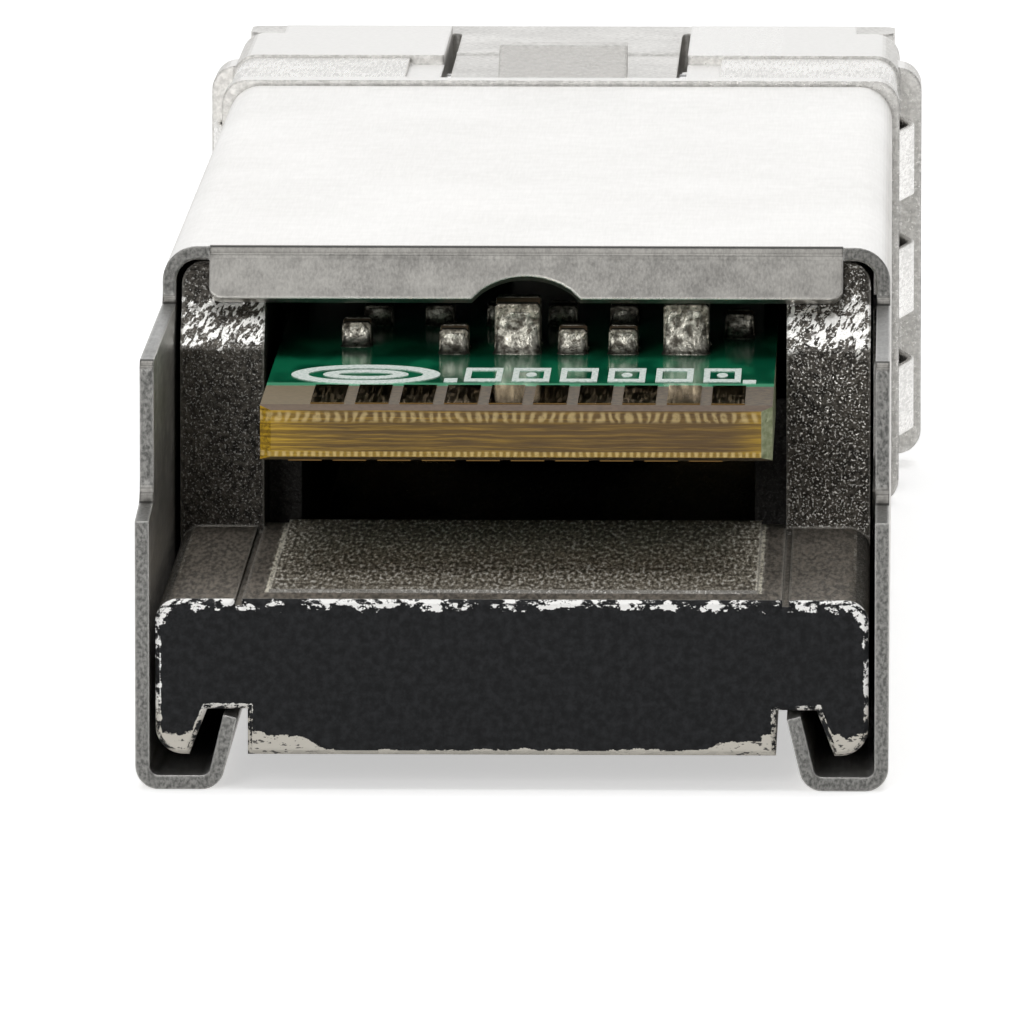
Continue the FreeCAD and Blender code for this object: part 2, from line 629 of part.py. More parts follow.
def ground_collar():
    """The springy collar round the nose, with bowed fingers on both sides."""
    reach = COLLAR_SHEET + COLLAR_PLAY - COLLAR_RECESS
    half = NOSE_HALF + reach
    low = -reach
    high = NOSE_HEIGHT + reach
    rear = NOSE_START + COLLAR_START + ASSEMBLY_GAP
    front = NOSE_START + COLLAR_START + COLLAR_LENGTH - ASSEMBLY_GAP
    path = [(-half + COLLAR_FLAP, high, 0), (-half, high, COLLAR_BEND), (-half, low, COLLAR_BEND),
            (half, low, COLLAR_BEND), (half, high, COLLAR_BEND), (half - COLLAR_FLAP, high, 0)]
    collar = folded_sheet(path, COLLAR_SHEET, "XZ", rear, front)
    root = rear + FINGER_ROOT
    fingers = []
    windows = []
    for index in range(FINGER_COUNT):
        middle = NOSE_HEIGHT / 2 + (index - (FINGER_COUNT - 1) / 2) * FINGER_PITCH
        low_edge = middle - FINGER_HEIGHT / 2
        high_edge = middle + FINGER_HEIGHT / 2
        windows.append(block(-half - PAST, half + PAST, root, front + PAST,
                             low_edge - FINGER_SLIT, high_edge + FINGER_SLIT))
        bow = [(half, root - ASSEMBLY_GAP, 0), (half + FINGER_BOW, (root + front) / 2, FINGER_BEND), (half, front, 0)]
        finger = folded_sheet(bow, COLLAR_SHEET, "XY", low_edge, high_edge)
        fingers = fingers + [finger, mirrored(finger)]
    return joined([collar.cut(windows)] + fingers)


def latch_lever():
    """The rocking lever: T-shaped plate, hub round its pin, ramped boss that locks in the cage."""
    half = LEVER_WIDTH / 2
    bar_half = CHEEK_HALF + BAIL_SIDE_GAP + BAIL_ARM_WIDTH - BAR_SIDE_TRIM
    bar_front = BAR_REAR + BAR_LENGTH
    plan = [(-half, LEVER_START, LEVER_CORNER), (half, LEVER_START, LEVER_CORNER), (half, BAR_REAR, LEVER_CORNER),
            (bar_half, BAR_REAR, LEVER_CORNER), (bar_half, bar_front, LEVER_CORNER),
            (-bar_half, bar_front, LEVER_CORNER), (-bar_half, BAR_REAR, LEVER_CORNER), (-half, BAR_REAR, LEVER_CORNER)]
    plate = prism(plan, "XY", LEVER_UNDERSIDE, LEVER_TOP)
    boss_top = LEVER_TOP + BOSS_RISE
    flat_start = SHOULDER_DEPTH - BOSS_FLAT
    ramp = [(flat_start - BOSS_RAMP, LEVER_TOP), (flat_start - BOSS_RAMP, LEVER_UNDERSIDE),
            (SHOULDER_DEPTH, LEVER_UNDERSIDE), (SHOULDER_DEPTH, boss_top), (flat_start, boss_top, LEVER_CORNER)]
    boss = prism(ramp, "YZ", -BOSS_WIDTH / 2, BOSS_WIDTH / 2)
    hub = cross_rod(LEVER_HUB_RADIUS, -half, half, PIVOT_DEPTH, LEVER_UNDERSIDE)
    hole = cross_rod(LEVER_PIN_RADIUS + PIN_CLEARANCE, -half - PAST, half + PAST, PIVOT_DEPTH, LEVER_UNDERSIDE)
    return joined([plate, boss, hub]).cut(hole)


def latch_pin():
    """The cross pin that the lever rocks on."""
    half = CHANNEL_HALF + PIN_SEAT - ASSEMBLY_GAP
    return cross_rod(LEVER_PIN_RADIUS, -half, half, PIVOT_DEPTH, LEVER_UNDERSIDE)


def latch_spring():
    """The leaf under the lever that pushes the boss back out."""
    foot_front = PIVOT_DEPTH - LEVER_HUB_RADIUS - ASSEMBLY_GAP
    foot_rear = foot_front - LEAF_FOOT
    floor = CHANNEL_FLOOR + LEAF_THICKNESS
    path = [(foot_front, floor, 0), (foot_rear, floor, LEAF_BEND),
            (foot_rear - LEAF_ARM, LEVER_UNDERSIDE - LEAF_GAP, 0)]
    return folded_sheet(path, LEAF_THICKNESS, "YZ", -LEAF_WIDTH / 2, LEAF_WIDTH / 2)


def bail_side(side):
    """One arm of the bail, with the eccentric hub that lifts the lever's bar and the pin it turns on."""
    inner = CHEEK_HALF + BAIL_SIDE_GAP
    x_low, x_high = side_span(side, inner, inner + BAIL_ARM_WIDTH)
    shift = BAIL_HUB_OFFSET / math.sqrt(2)
    hub_depth = BAIL_PIVOT_DEPTH + shift
    hub_height = BAIL_PIVOT_HEIGHT - shift
    bar_top = BAIL_BAR_LIFT + BAIL_BAR_HEIGHT
    pivot = (BAIL_PIVOT_DEPTH, BAIL_PIVOT_HEIGHT)
    fall = run_direction(pivot, (BAIL_BAR_REAR + BAIL_BAR_LENGTH / 2, BAIL_BAR_LIFT + BAIL_BAR_HEIGHT / 2))
    half = BAIL_ARM_DEPTH / 2
    arm = [(pivot[0] + fall[1] * half, pivot[1] - fall[0] * half),
           (pivot[0] - fall[1] * half, pivot[1] + fall[0] * half),
           (BAIL_BAR_FRONT, bar_top + half, half), (BAIL_BAR_FRONT, BAIL_BAR_LIFT, BAIL_BAR_ROUND),
           (BAIL_BAR_REAR, BAIL_BAR_LIFT, BAIL_BAR_ROUND), (BAIL_BAR_REAR, bar_top)]
    pin_low, pin_high = side_span(side, CHEEK_HALF - BAIL_PIN_REACH, inner + ASSEMBLY_GAP)
    return [prism(arm, "YZ", x_low, x_high),
            cross_rod(BAIL_HUB_RADIUS, x_low, x_high, hub_depth, hub_height),
            cross_rod(BAIL_PIN_RADIUS, pin_low, pin_high, BAIL_PIVOT_DEPTH, BAIL_PIVOT_HEIGHT)]


def bail():
    """The handle: two arms and the bar across the front, below the ports."""
    half = CHEEK_HALF + BAIL_SIDE_GAP + BAIL_ARM_WIDTH
    bar_top = BAIL_BAR_LIFT + BAIL_BAR_HEIGHT
    section = [(BAIL_BAR_REAR, BAIL_BAR_LIFT, BAIL_BAR_ROUND), (BAIL_BAR_FRONT, BAIL_BAR_LIFT, BAIL_BAR_ROUND),
               (BAIL_BAR_FRONT, bar_top, BAIL_BAR_ROUND), (BAIL_BAR_REAR, bar_top, BAIL_BAR_ROUND)]
    pieces = [prism(section, "YZ", -half, half)]
    for side in SIDES:
        pieces = pieces + bail_side(side)
    return joined(pieces)


def optical_can(side):
    """The metal can of a laser or detector, with the brim of its header."""
    x = side * PORT_X
    can = long_rod(CAN_RADIUS, CAN_REAR, CAN_FRONT, x, OPTICAL_AXIS_HEIGHT)
    brim = long_rod(CAN_RADIUS + CAN_BRIM, CAN_REAR, CAN_REAR + CAN_BRIM_LENGTH, x, OPTICAL_AXIS_HEIGHT)
    return joined([can, brim])


def optical_barrel(side):
    """The flanged barrel that reaches into the port and carries the alignment sleeve."""
    x = side * PORT_X
    tip = PORT_BOTTOM_DEPTH + BARREL_TIP
    flange = long_rod(FLANGE_RADIUS, CAN_FRONT, FLANGE_FRONT, x, OPTICAL_AXIS_HEIGHT)
    tube = long_rod(BARREL_RADIUS, FLANGE_FRONT, tip, x, OPTICAL_AXIS_HEIGHT)
    socket = long_rod(SLEEVE_RADIUS + SLEEVE_PLAY, tip - SLEEVE_LENGTH, tip + PAST, x, OPTICAL_AXIS_HEIGHT)
    return joined([flange, tube]).cut(socket)


def alignment_sleeve(side):
    """The ceramic sleeve that takes the plug's ferrule."""
    x = side * PORT_X
    tip = PORT_BOTTOM_DEPTH + BARREL_TIP
    tube = long_rod(SLEEVE_RADIUS, tip - SLEEVE_LENGTH, tip, x, OPTICAL_AXIS_HEIGHT)
    return tube.cut(long_rod(FERRULE_RADIUS, tip - SLEEVE_LENGTH, tip, x, OPTICAL_AXIS_HEIGHT))


def optics_holder():
    """The plastic bridge that clamps both barrels against the nose."""
    half = BAY_HALF - HOLDER_SIDE_GAP
    plate = block(-half, half, FLANGE_FRONT, HOLDER_FRONT, CAVITY_FLOOR, WALL_TOP - HOLDER_TOP_DROP)
    for side in SIDES:
        plate = plate.cut(long_rod(BARREL_RADIUS + ASSEMBLY_GAP, FLANGE_FRONT, HOLDER_FRONT,
                                   side * PORT_X, OPTICAL_AXIS_HEIGHT))
    return plate


def flex_strip(side):
    """The bent printed strip from the board's end down to the back of a can."""
    leg_depth = CAN_REAR - FLEX_GAP - FLEX_THICKNESS
    path = [(FLEX_START, BOARD_TOP, 0), (leg_depth, BOARD_TOP, FLEX_BEND),
            (leg_depth, OPTICAL_AXIS_HEIGHT - FLEX_TAIL, 0)]
    x_low, x_high = side_span(side, PORT_X - FLEX_WIDTH / 2, PORT_X + FLEX_WIDTH / 2)
    return folded_sheet(path, FLEX_THICKNESS, "YZ", x_low, x_high)


def driver_chip(side):
    """A square chip on the board, just behind the flexible strips."""
    middle = side * CHIP_SPREAD / 2
    return block(middle - CHIP_SIZE / 2, middle + CHIP_SIZE / 2, CHIP_FRONT - CHIP_SIZE, CHIP_FRONT,
                 BOARD_TOP, BOARD_TOP + CHIP_HEIGHT)


def controller_chip():
    """The controller under the board, between the ledges."""
    rear = LEDGE_REAR + CONTROLLER_FROM_LEDGE
    return block(-CONTROLLER_SIZE / 2, CONTROLLER_SIZE / 2, rear, rear + CONTROLLER_SIZE,
                 BOARD_UNDERSIDE - CONTROLLER_HEIGHT, BOARD_UNDERSIDE)


def thermal_pad():
    """The soft pad from the laser driver up to the cover."""
    middle = LEFT * CHIP_SPREAD / 2
    half = CHIP_SIZE / 2 - PAD_INSET
    return block(middle - half, middle + half, CHIP_FRONT - CHIP_SIZE + PAD_INSET, CHIP_FRONT - PAD_INSET,
                 BOARD_TOP + CHIP_HEIGHT, COVER_HEIGHT - SHEET)


def chip_part(size, x, rear):
    """Body and two end terminals of a chip component that stands on the board, end to the rear."""
    width, length, height = size
    cap = length * TERMINAL_SHARE
    half = width / 2
    body = block(x - half, x + half, rear + cap, rear + length - cap, BOARD_TOP, BOARD_TOP + height)
    proud = half + TERMINAL_PROUD
    terminals = []
    for start in (rear, rear + length - cap):
        top = BOARD_TOP + height + TERMINAL_PROUD
        face = [(x - proud, BOARD_TOP), (x + proud, BOARD_TOP), (x + proud, top - TERMINAL_BEVEL),
                (x + proud - TERMINAL_BEVEL, top), (x - proud + TERMINAL_BEVEL, top), (x - proud, top - TERMINAL_BEVEL)]
        terminals.append(prism(face, "XZ", start, start + cap))
    return body, terminals


def chip_part_group(size, places):
    """Bodies as one group and terminals as another, for like parts at several places."""
    bodies = []
    terminals = []
    for x, set_back in places:
        body, ends = chip_part(size, x, MOUTH_LENGTH + CHIP_PART_FROM_MOUTH + set_back)
        bodies.append(body)
        terminals = terminals + ends
    return Part.makeCompound(bodies), Part.makeCompound(terminals)


def resistor_places():
    """A row of resistors across the board, behind the capacitors."""
    middle = (CHIP_RESISTOR_COUNT - 1) / 2
    return [((index - middle) * CHIP_RESISTOR_SPACING, CHIP_RESISTOR_ROW) for index in range(CHIP_RESISTOR_COUNT)]


def all_parts():
    """Every node by name, still counted forward from the rear end."""
    large_bodies, large_terminals = chip_part_group(LARGE_CAPACITOR, LARGE_CAPACITOR_PLACES)
    small_bodies, small_terminals = chip_part_group(SMALL_CAPACITOR, SMALL_CAPACITOR_PLACES)
    resistor_bodies, resistor_terminals = chip_part_group(CHIP_RESISTOR, resistor_places())
    parts = {
        "top_cover": top_cover(),
        "base_housing": base_housing(),
        "circuit_board": circuit_board(),
        "upper_contacts": edge_contacts(BOARD_TOP, CONTACT_STAGGER),
        "lower_contacts": edge_contacts(BOARD_UNDERSIDE - CONTACT_THICKNESS, -CONTACT_STAGGER),
        "large_capacitor_bodies": large_bodies,
        "large_capacitor_terminals": large_terminals,
        "small_capacitor_bodies": small_bodies,
        "small_capacitor_terminals": small_terminals,
        "chip_resistor_bodies": resistor_bodies,
        "chip_resistor_terminals": resistor_terminals,
        "laser_driver_chip": driver_chip(LEFT),
        "receiver_amplifier_chip": driver_chip(RIGHT),
        "controller_chip": controller_chip(),
        "thermal_pad": thermal_pad(),
        "optics_holder": optics_holder(),
        "ground_collar": ground_collar(),
        "latch_lever": latch_lever(),
        "latch_pin": latch_pin(),
        "latch_spring": latch_spring(),
        "bail": bail(),
    }
    for side, name in ((LEFT, "transmitter"), (RIGHT, "receiver")):
        parts[name + "_can"] = optical_can(side)
        parts[name + "_barrel"] = optical_barrel(side)
        parts[name + "_sleeve"] = alignment_sleeve(side)
        parts[name + "_flex"] = flex_strip(side)
    return parts


def main():
    """Move the origin to the middle of the length and write one file per node."""
    os.makedirs("parts", exist_ok=True)
    for name, shape in all_parts().items():
        shape.translate(FreeCAD.Vector(0, -OVERALL_LENGTH / 2, 0))
        shape.exportStep("parts/" + name + ".step")


main()
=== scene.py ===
"""Looks of a small pluggable optical transceiver: finishes, solder, printed marks, light and camera."""
import bmesh
import bpy
import json
import math
import random
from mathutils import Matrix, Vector
from types import SimpleNamespace


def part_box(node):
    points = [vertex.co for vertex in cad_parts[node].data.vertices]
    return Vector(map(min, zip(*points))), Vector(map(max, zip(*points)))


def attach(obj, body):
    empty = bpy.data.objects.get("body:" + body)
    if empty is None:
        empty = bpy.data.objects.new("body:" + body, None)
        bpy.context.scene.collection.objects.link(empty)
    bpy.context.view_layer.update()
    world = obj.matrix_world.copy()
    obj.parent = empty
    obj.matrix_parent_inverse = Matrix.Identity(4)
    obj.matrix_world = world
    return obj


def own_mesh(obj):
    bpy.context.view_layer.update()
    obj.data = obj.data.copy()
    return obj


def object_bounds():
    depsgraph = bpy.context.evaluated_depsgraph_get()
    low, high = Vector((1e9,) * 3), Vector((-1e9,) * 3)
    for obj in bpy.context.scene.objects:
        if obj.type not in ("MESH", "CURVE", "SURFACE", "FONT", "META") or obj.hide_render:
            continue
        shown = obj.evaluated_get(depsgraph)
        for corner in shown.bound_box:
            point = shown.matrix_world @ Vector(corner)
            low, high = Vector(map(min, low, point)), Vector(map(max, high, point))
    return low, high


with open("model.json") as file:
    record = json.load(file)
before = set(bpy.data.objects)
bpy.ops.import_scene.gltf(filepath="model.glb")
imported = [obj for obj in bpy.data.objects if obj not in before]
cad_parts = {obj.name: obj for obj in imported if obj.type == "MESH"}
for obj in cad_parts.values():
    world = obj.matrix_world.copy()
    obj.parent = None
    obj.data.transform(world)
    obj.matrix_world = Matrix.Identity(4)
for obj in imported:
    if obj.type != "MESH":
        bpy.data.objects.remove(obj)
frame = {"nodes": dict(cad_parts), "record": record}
cad_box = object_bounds()
nodes = frame["nodes"]
housing = nodes["base_housing"].data
MM = 0.001

# Camera, as the photograph sees the card-edge end
VIEW_AZIMUTH = math.radians(1.3649)
VIEW_ELEVATION = math.radians(7.1128)
VIEW_DISTANCE = 294.18 * MM
VIEW_AIM = Vector((0.0054, -28.8, 4.991)) * MM
LENS = 582.6
SENSOR = 36.0
CLIP_START = 0.01

# Studio
FLOOR_REACH = 4.0
BACKDROP_PLACE = 3.0
BACKDROP_HALF = 3.2
BACKDROP_HEIGHT = 2.2
FLOOR_GLOW = 0.5
BACKDROP_GLOW = 0.95
PAPER_LEVEL = 0.84
WORLD_LEVEL = 0.26
KEY_PLACE = Vector((0.02, 0.06, 0.5))
KEY_SIZE = 0.48
KEY_POWER = 1.75
FILL_PLACE = Vector((-0.14, -0.52, 0.17))
FILL_SIZE = 0.2
FILL_POWER = 0.95

# Printed marks on the board
INK_RISE = 0.012 * MM
INK_SINK = 0.004 * MM
INK_ACROSS = 0.115 * MM
INK_ALONG = 0.42 * MM
MARK_ROW = 1.75 * MM
RING_X = -2.85 * MM
OUTER_RING = (1.36 * MM, 1.5 * MM), (1.05 * MM, 0.95 * MM)
INNER_RING = (0.78 * MM, 0.72 * MM), (0.5 * MM, 0.3 * MM)
RING_POINTS = 40
FRAME_COUNT = 6
FRAME_START = -0.7 * MM
FRAME_PITCH = 0.87 * MM
FRAME_ACROSS = 0.34 * MM
FRAME_ALONG = 1.05 * MM
DOT_ACROSS = 0.1 * MM
DOT_ALONG = 0.34 * MM
DOT_POINTS = 16
FIRST_SQUARE = (-1.28 * MM, -0.9 * MM)
LAST_SQUARE = (4.15 * MM, -1.0 * MM)
SQUARE_ACROSS = 0.12 * MM
FIRST_SQUARE_ALONG = 0.3 * MM
LAST_SQUARE_ALONG = 0.25 * MM

# Solder
SOLDER_SINK = 0.01 * MM
SOLDER_DEPTH = 0.03 * MM
SOLDER_RISE = (0.82, 0.92)
SOLDER_REACH = (0.20 * MM, 0.27 * MM)
SOLDER_FLARE = 0.06 * MM
SOLDER_TAPER = 0.16
SOLDER_WOBBLE = 0.008 * MM
SOLDER_SIDE_REACH = 0.35
SOLDER_SIDE_RISE = 0.86
SOLDER_STEPS = 7
SOLDER_ACROSS = 9
SMOOTH_ANGLE = math.radians(55)
SAME_POINT = 0.001 * MM
SAME_PART = 0.05 * MM

# Rear face of the casting
REAR_CORNER = 0.4 * MM
FOOT_MARGIN = 0.3 * MM
HEAD_MARGIN = 0.8 * MM
SLOT_LEAN = 0.42
# Reach, swing and drift of the painted highlights along the rear face's edges
GLINT_EDGE = 0.004 * MM
GLINT_REACH = 0.012 * MM
GLINT_TOP_REACH = 0.005 * MM
GLINT_FOOT_REACH = 0.24 * MM
GLINT_SWING = 0.035 * MM
GLINT_TOP_SWING = 0.12 * MM
GLINT_DRIFT = 0.02 * MM
GLINT_FOOT_DRIFT = 0.05 * MM

# Rows of glass tufts on the board's cut end
UPPER_TUFT = 0.17 * MM
LOWER_TUFT = 0.13 * MM
TUFT_SLANT = 7 / MM


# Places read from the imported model

SAME_PLACE = 0.01 * MM
REAR_Y = cad_box[0][1]
PLATFORM_Y = REAR_Y + 1.0 * MM
PLATFORM_EDGE = PLATFORM_Y - 0.1 * MM, PLATFORM_Y + 0.05 * MM
PLATFORM_SHADE = REAR_Y + 1.2 * MM, REAR_Y + 4.5 * MM
CAVITY_START = REAR_Y + 11.8 * MM, REAR_Y + 12.4 * MM
CAVITY_FLOOR = 0.9 * MM, 1.1 * MM
BOARD_LOW, BOARD_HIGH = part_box("circuit_board")
BOARD_TOP = BOARD_HIGH.z
MASK_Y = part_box("upper_contacts")[1].y
MASK_EDGE = MASK_Y, MASK_Y + 0.06 * MM
NOSE_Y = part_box("top_cover")[1].y
COVER_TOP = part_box("top_cover")[1].z
SIDE_FLOOR_X = BOARD_HIGH.x + 0.1 * MM


def housing_points(keep):
    """The casting's points that pass a test."""
    return [vert.co for vert in housing.vertices if keep(vert.co)]


def is_ledge(face):
    """Whether a face of the casting slopes back and up, above the rear block."""
    return 0.6 < face.normal.z < 0.8 and face.normal.y < -0.6 and face.center.z > REAR_TOP


REAR_POINTS = housing_points(lambda point: point.y < REAR_Y + SAME_PLACE)
REAR_HALF = max(point.x for point in REAR_POINTS)
REAR_LOW = min(point.z for point in REAR_POINTS)
REAR_TOP = max(point.z for point in REAR_POINTS)
TOP_BAND = REAR_TOP - 0.6 * MM, REAR_TOP - 0.3 * MM
FOOT_BAND = REAR_LOW + 0.26 * MM, REAR_LOW + 0.32 * MM
# Heights over which the rear face's painted edge highlight grows brighter
REAR_HIGHLIGHT_BAND = REAR_LOW + 0.4 * MM, REAR_LOW + 1.2 * MM
SLOT_POINTS = [point for point in REAR_POINTS if 0 < point.x < REAR_HALF - REAR_CORNER
               and REAR_LOW + FOOT_MARGIN < point.z < REAR_TOP - HEAD_MARGIN]
SLOT_ROOF = max(point.z for point in SLOT_POINTS)
SLOT_INNER = min(point.x for point in SLOT_POINTS)
SLOT_OUTER = max(point.x for point in SLOT_POINTS if point.z > SLOT_ROOF - 0.05 * MM)
SLOPED_POINTS = [housing.vertices[i].co for face in housing.polygons if is_ledge(face) for i in face.vertices]
LEDGE_POINTS = [point for point in SLOPED_POINTS if abs(point.x) > BOARD_HIGH.x and BOARD_LOW.y < point.y < 0]
LEDGE_LOW = min(point.z for point in LEDGE_POINTS)
LEDGE_HIGH = max(point.z for point in LEDGE_POINTS)
PLATFORM_POINTS = housing_points(
    lambda point: abs(point.y - PLATFORM_Y) < SAME_PLACE and point.z > REAR_TOP - 0.2 * MM)
PLATFORM_HALF = max(point.x for point in PLATFORM_POINTS)


def srgb(red, green, blue):
    """A colour written as 0 to 255 display values, as the linear colour that shaders take."""
    channels = []
    for value in (red, green, blue):
        share = value / 255
        channels.append(share / 12.92 if share < 0.04045 else ((share + 0.055) / 1.055) ** 2.4)
    return (*channels, 1.0)


# Colours; where there are two, the finish runs from the first to the second

STEEL = srgb(180, 177, 172), srgb(215, 212, 206)
# Painted reflection drawn on the cover's top
STEEL_TOP_REFLECTION = srgb(240, 239, 236), srgb(253, 252, 250)
STEEL_CUT = srgb(80, 80, 78), srgb(136, 135, 132)
# Painted shade on the lip's bend
STEEL_BEND_SHADE = srgb(76, 75, 72), srgb(116, 114, 110)
# Painted shade: a dark line along the top of the lip's bend
STEEL_CREASE_SHADE = srgb(38, 37, 36)
# Painted highlights along the cover's edges and along the edges of its cut faces
STEEL_EDGE_HIGHLIGHT = srgb(244, 242, 236)
CUT_EDGE_HIGHLIGHT = srgb(232, 231, 227)
ZINC = srgb(38, 36, 33), srgb(92, 88, 82)
ZINC_CLOUD = srgb(90, 84, 75)
# Painted glints on the casting's grain
ZINC_GLINT = srgb(240, 238, 233)
# Painted highlight on the sloping ledge
ZINC_LEDGE_HIGHLIGHT = srgb(244, 243, 239)
# Painted highlight along the casting's edges
ZINC_EDGE_HIGHLIGHT = srgb(214, 210, 202)
SIDE_FLOOR = srgb(44, 41, 36), srgb(150, 141, 129)
# Pebble colours made pale as painted light against the board's shadow
PEBBLES = srgb(82, 76, 64), srgb(168, 160, 144)
# Painted glints on the platform's pebbles
PEBBLE_GLINT = srgb(250, 247, 238)
# Painted shade on the platform near the rear
PEBBLE_SHADE = srgb(48, 43, 36)
# Painted highlight along the platform's rim
PLATFORM_RIM_HIGHLIGHT = srgb(240, 234, 216)
NOSE_PLATING = srgb(202, 200, 196), srgb(234, 232, 228)
# Painted highlight on the nose's top faces
NOSE_TOP_HIGHLIGHT = srgb(250, 249, 247)
# Painted shade deep in the casting's hollow
CAVITY_SHADE = srgb(34, 33, 32), srgb(64, 62, 60)
# Painted dark reflection over the rear face
REAR_DARK_REFLECTION = srgb(6, 7, 9), srgb(36, 37, 39)
# Painted highlight along the rear face's edges, and the dark flecks in it at the foot
REAR_EDGE_HIGHLIGHT = srgb(206, 201, 190), srgb(255, 254, 251)
REAR_DARK_FLECK = srgb(34, 33, 31)
MASK = srgb(8, 90, 62), srgb(22, 124, 86)
MASK_BORDER = srgb(112, 208, 162)
BARE_BOARD = srgb(66, 54, 37), srgb(104, 88, 63)
BARE_TAN = srgb(122, 103, 60)
LAYERS = srgb(92, 68, 14), srgb(160, 126, 40)
LAYER_DARK = srgb(66, 46, 12)
LAYER_WARM = srgb(84, 60, 38)
LAYER_LINE = srgb(96, 70, 18)
RESIN_END = srgb(214, 172, 36)
RESIN_ROW = srgb(206, 168, 52)
RESIN_FOOT = srgb(236, 186, 48)
TUFT = srgb(240, 214, 152)
BOARD_BEVEL = srgb(70, 54, 40), srgb(114, 91, 70)
BOARD_SIDE = srgb(140, 150, 112), srgb(188, 194, 158)
GOLD = srgb(226, 180, 92), srgb(200, 150, 68)
GOLD_END = srgb(74, 56, 36)
TIN = srgb(78, 73, 65), srgb(156, 151, 139)
SOLDER = srgb(80, 76, 69), srgb(184, 181, 170)
TIN_PIT = srgb(66, 60, 52)
CAPACITOR = srgb(128, 104, 80), srgb(166, 140, 112)
RESISTOR = srgb(26, 27, 30), srgb(52, 53, 57)
CHIP = srgb(22, 22, 24), srgb(42, 42, 44)
GEL = srgb(122, 128, 140), srgb(168, 172, 182)
CAN = srgb(190, 168, 116), srgb(224, 202, 150)
BARREL = srgb(150, 150, 150), srgb(206, 206, 205)
SPRING = srgb(190, 188, 184), srgb(236, 234, 230)
LATCH = srgb(184, 182, 178), srgb(228, 226, 222)
PIN = srgb(160, 160, 160), srgb(220, 220, 219)
# Painted highlight along the edges of plated parts
PLATED_EDGE_HIGHLIGHT = srgb(236, 234, 228)
ZIRCONIA = srgb(226, 222, 210), srgb(246, 243, 234)
POLYIMIDE = srgb(150, 84, 20), srgb(178, 106, 30)
COPPER_RUN = srgb(206, 140, 74)
HOLDER = srgb(34, 36, 40), srgb(58, 60, 66)
INK = srgb(158, 186, 173), srgb(236, 240, 236)


class Finish:
    """A material being made, with short ways to add its nodes. Sizes are in metres."""

    def __init__(self, name, **settings):
        self.material = bpy.data.materials.new(name)
        self.material.use_nodes = True
        self.tree = self.material.node_tree
        self.shader = self.tree.nodes["Principled BSDF"]
        for socket, value in settings.items():
            self.shader.inputs[socket.replace("_", " ")].default_value = value
        self.place = self.node("TexCoord").outputs["Object"]
        self.axes = self.node("SeparateXYZ", {"Vector": self.place}).outputs

    def feed(self, socket, value):
        if isinstance(value, bpy.types.NodeSocket):
            self.tree.links.new(value, socket)
        else:
            socket.default_value = value

    def node(self, kind, inputs=None, **settings):
        made = self.tree.nodes.new("ShaderNode" + kind)
        for name, value in settings.items():
            setattr(made, name, value)
        for socket, value in (inputs or {}).items():
            self.feed(made.inputs[socket], value)
        return made

    def set(self, **values):
        for socket, value in values.items():
            self.feed(self.shader.inputs[socket.replace("_", " ")], value)
        return self.material

    def noise(self, size, detail=3.0, rough=0.55, stretch=(1, 1, 1), shift=0.0):
        scale = [1 / (size * part) for part in stretch]
        start = (shift, shift, shift)
        place = self.node("Mapping", {"Vector": self.place, "Scale": scale, "Location": start})
        return self.node("TexNoise", {"Vector": place.outputs[0], "Scale": 1.0, "Detail": detail,
                                      "Roughness": rough}).outputs["Fac"]

    def ramp(self, value, low, high, start=0.0, end=1.0):
        """Runs smoothly from start to end as the value goes from low to high."""
        return self.node("MapRange", {"Value": value, "From Min": low, "From Max": high, "To Min": start,
                                      "To Max": end}, interpolation_type="SMOOTHSTEP").outputs["Result"]

    def spread(self, noise, start=0.0, end=1.0):
        """Runs from start to end over the usual range of a noise."""
        return self.ramp(noise, 0.3, 0.7, start, end)

    def band(self, value, low, high, soft):
        """One between low and high, falling to nothing over the soft distance."""
        return self.times(self.ramp(value, low - soft, low), self.ramp(value, high, high + soft, 1.0, 0.0))

    def sums(self, operation, first, second):
        return self.node("Math", {0: first, 1: second}, operation=operation).outputs[0]

    def times(self, first, second):
        return self.sums("MULTIPLY", first, second)

    def plus(self, first, second):
        return self.sums("ADD", first, second)

    def minus(self, first, second):
        return self.sums("SUBTRACT", first, second)

    def most(self, first, second):
        return self.sums("MAXIMUM", first, second)

    def least(self, first, second):
        return self.sums("MINIMUM", first, second)

    def size(self, value):
        return self.sums("ABSOLUTE", value, 0.0)

    def sine(self, value):
        return self.node("Math", {0: value}, operation="SINE").outputs[0]

    def length(self, first, second):
        return self.sums("POWER", self.plus(self.times(first, first), self.times(second, second)), 0.5)

    def without(self, value):
        return self.minus(1.0, value)

    def blend(self, share, first, second):
        made = self.node("Mix", data_type="RGBA")
        self.feed(made.inputs[0], share)
        self.feed(made.inputs[6], first)
        self.feed(made.inputs[7], second)
        return made.outputs[2]

    def flat_normal(self):
        return self.node("NewGeometry").outputs["True Normal"]

    def facing(self):
        """The flat normal's parts: across, along and up."""
        return self.node("SeparateXYZ", {"Vector": self.flat_normal()}).outputs

    def rounded(self, radius, samples=6):
        """The normal, as if each edge were rounded."""
        return self.node("Bevel", {"Radius": radius}, samples=samples).outputs[0]

    def nearness(self, rounded):
        """How near an edge is, from 0 to about 0.3, told by how far the rounded normal turns."""
        turned = self.node("VectorMath", {0: rounded, 1: self.flat_normal()}, operation="DOT_PRODUCT")
        return self.without(turned.outputs["Value"])

    def bump(self, height, depth, strength=1.0, normal=None):
        inputs = {"Height": height, "Distance": depth, "Strength": strength}
        if normal is not None:
            inputs["Normal"] = normal
        return self.node("Bump", inputs).outputs["Normal"]


# Cover

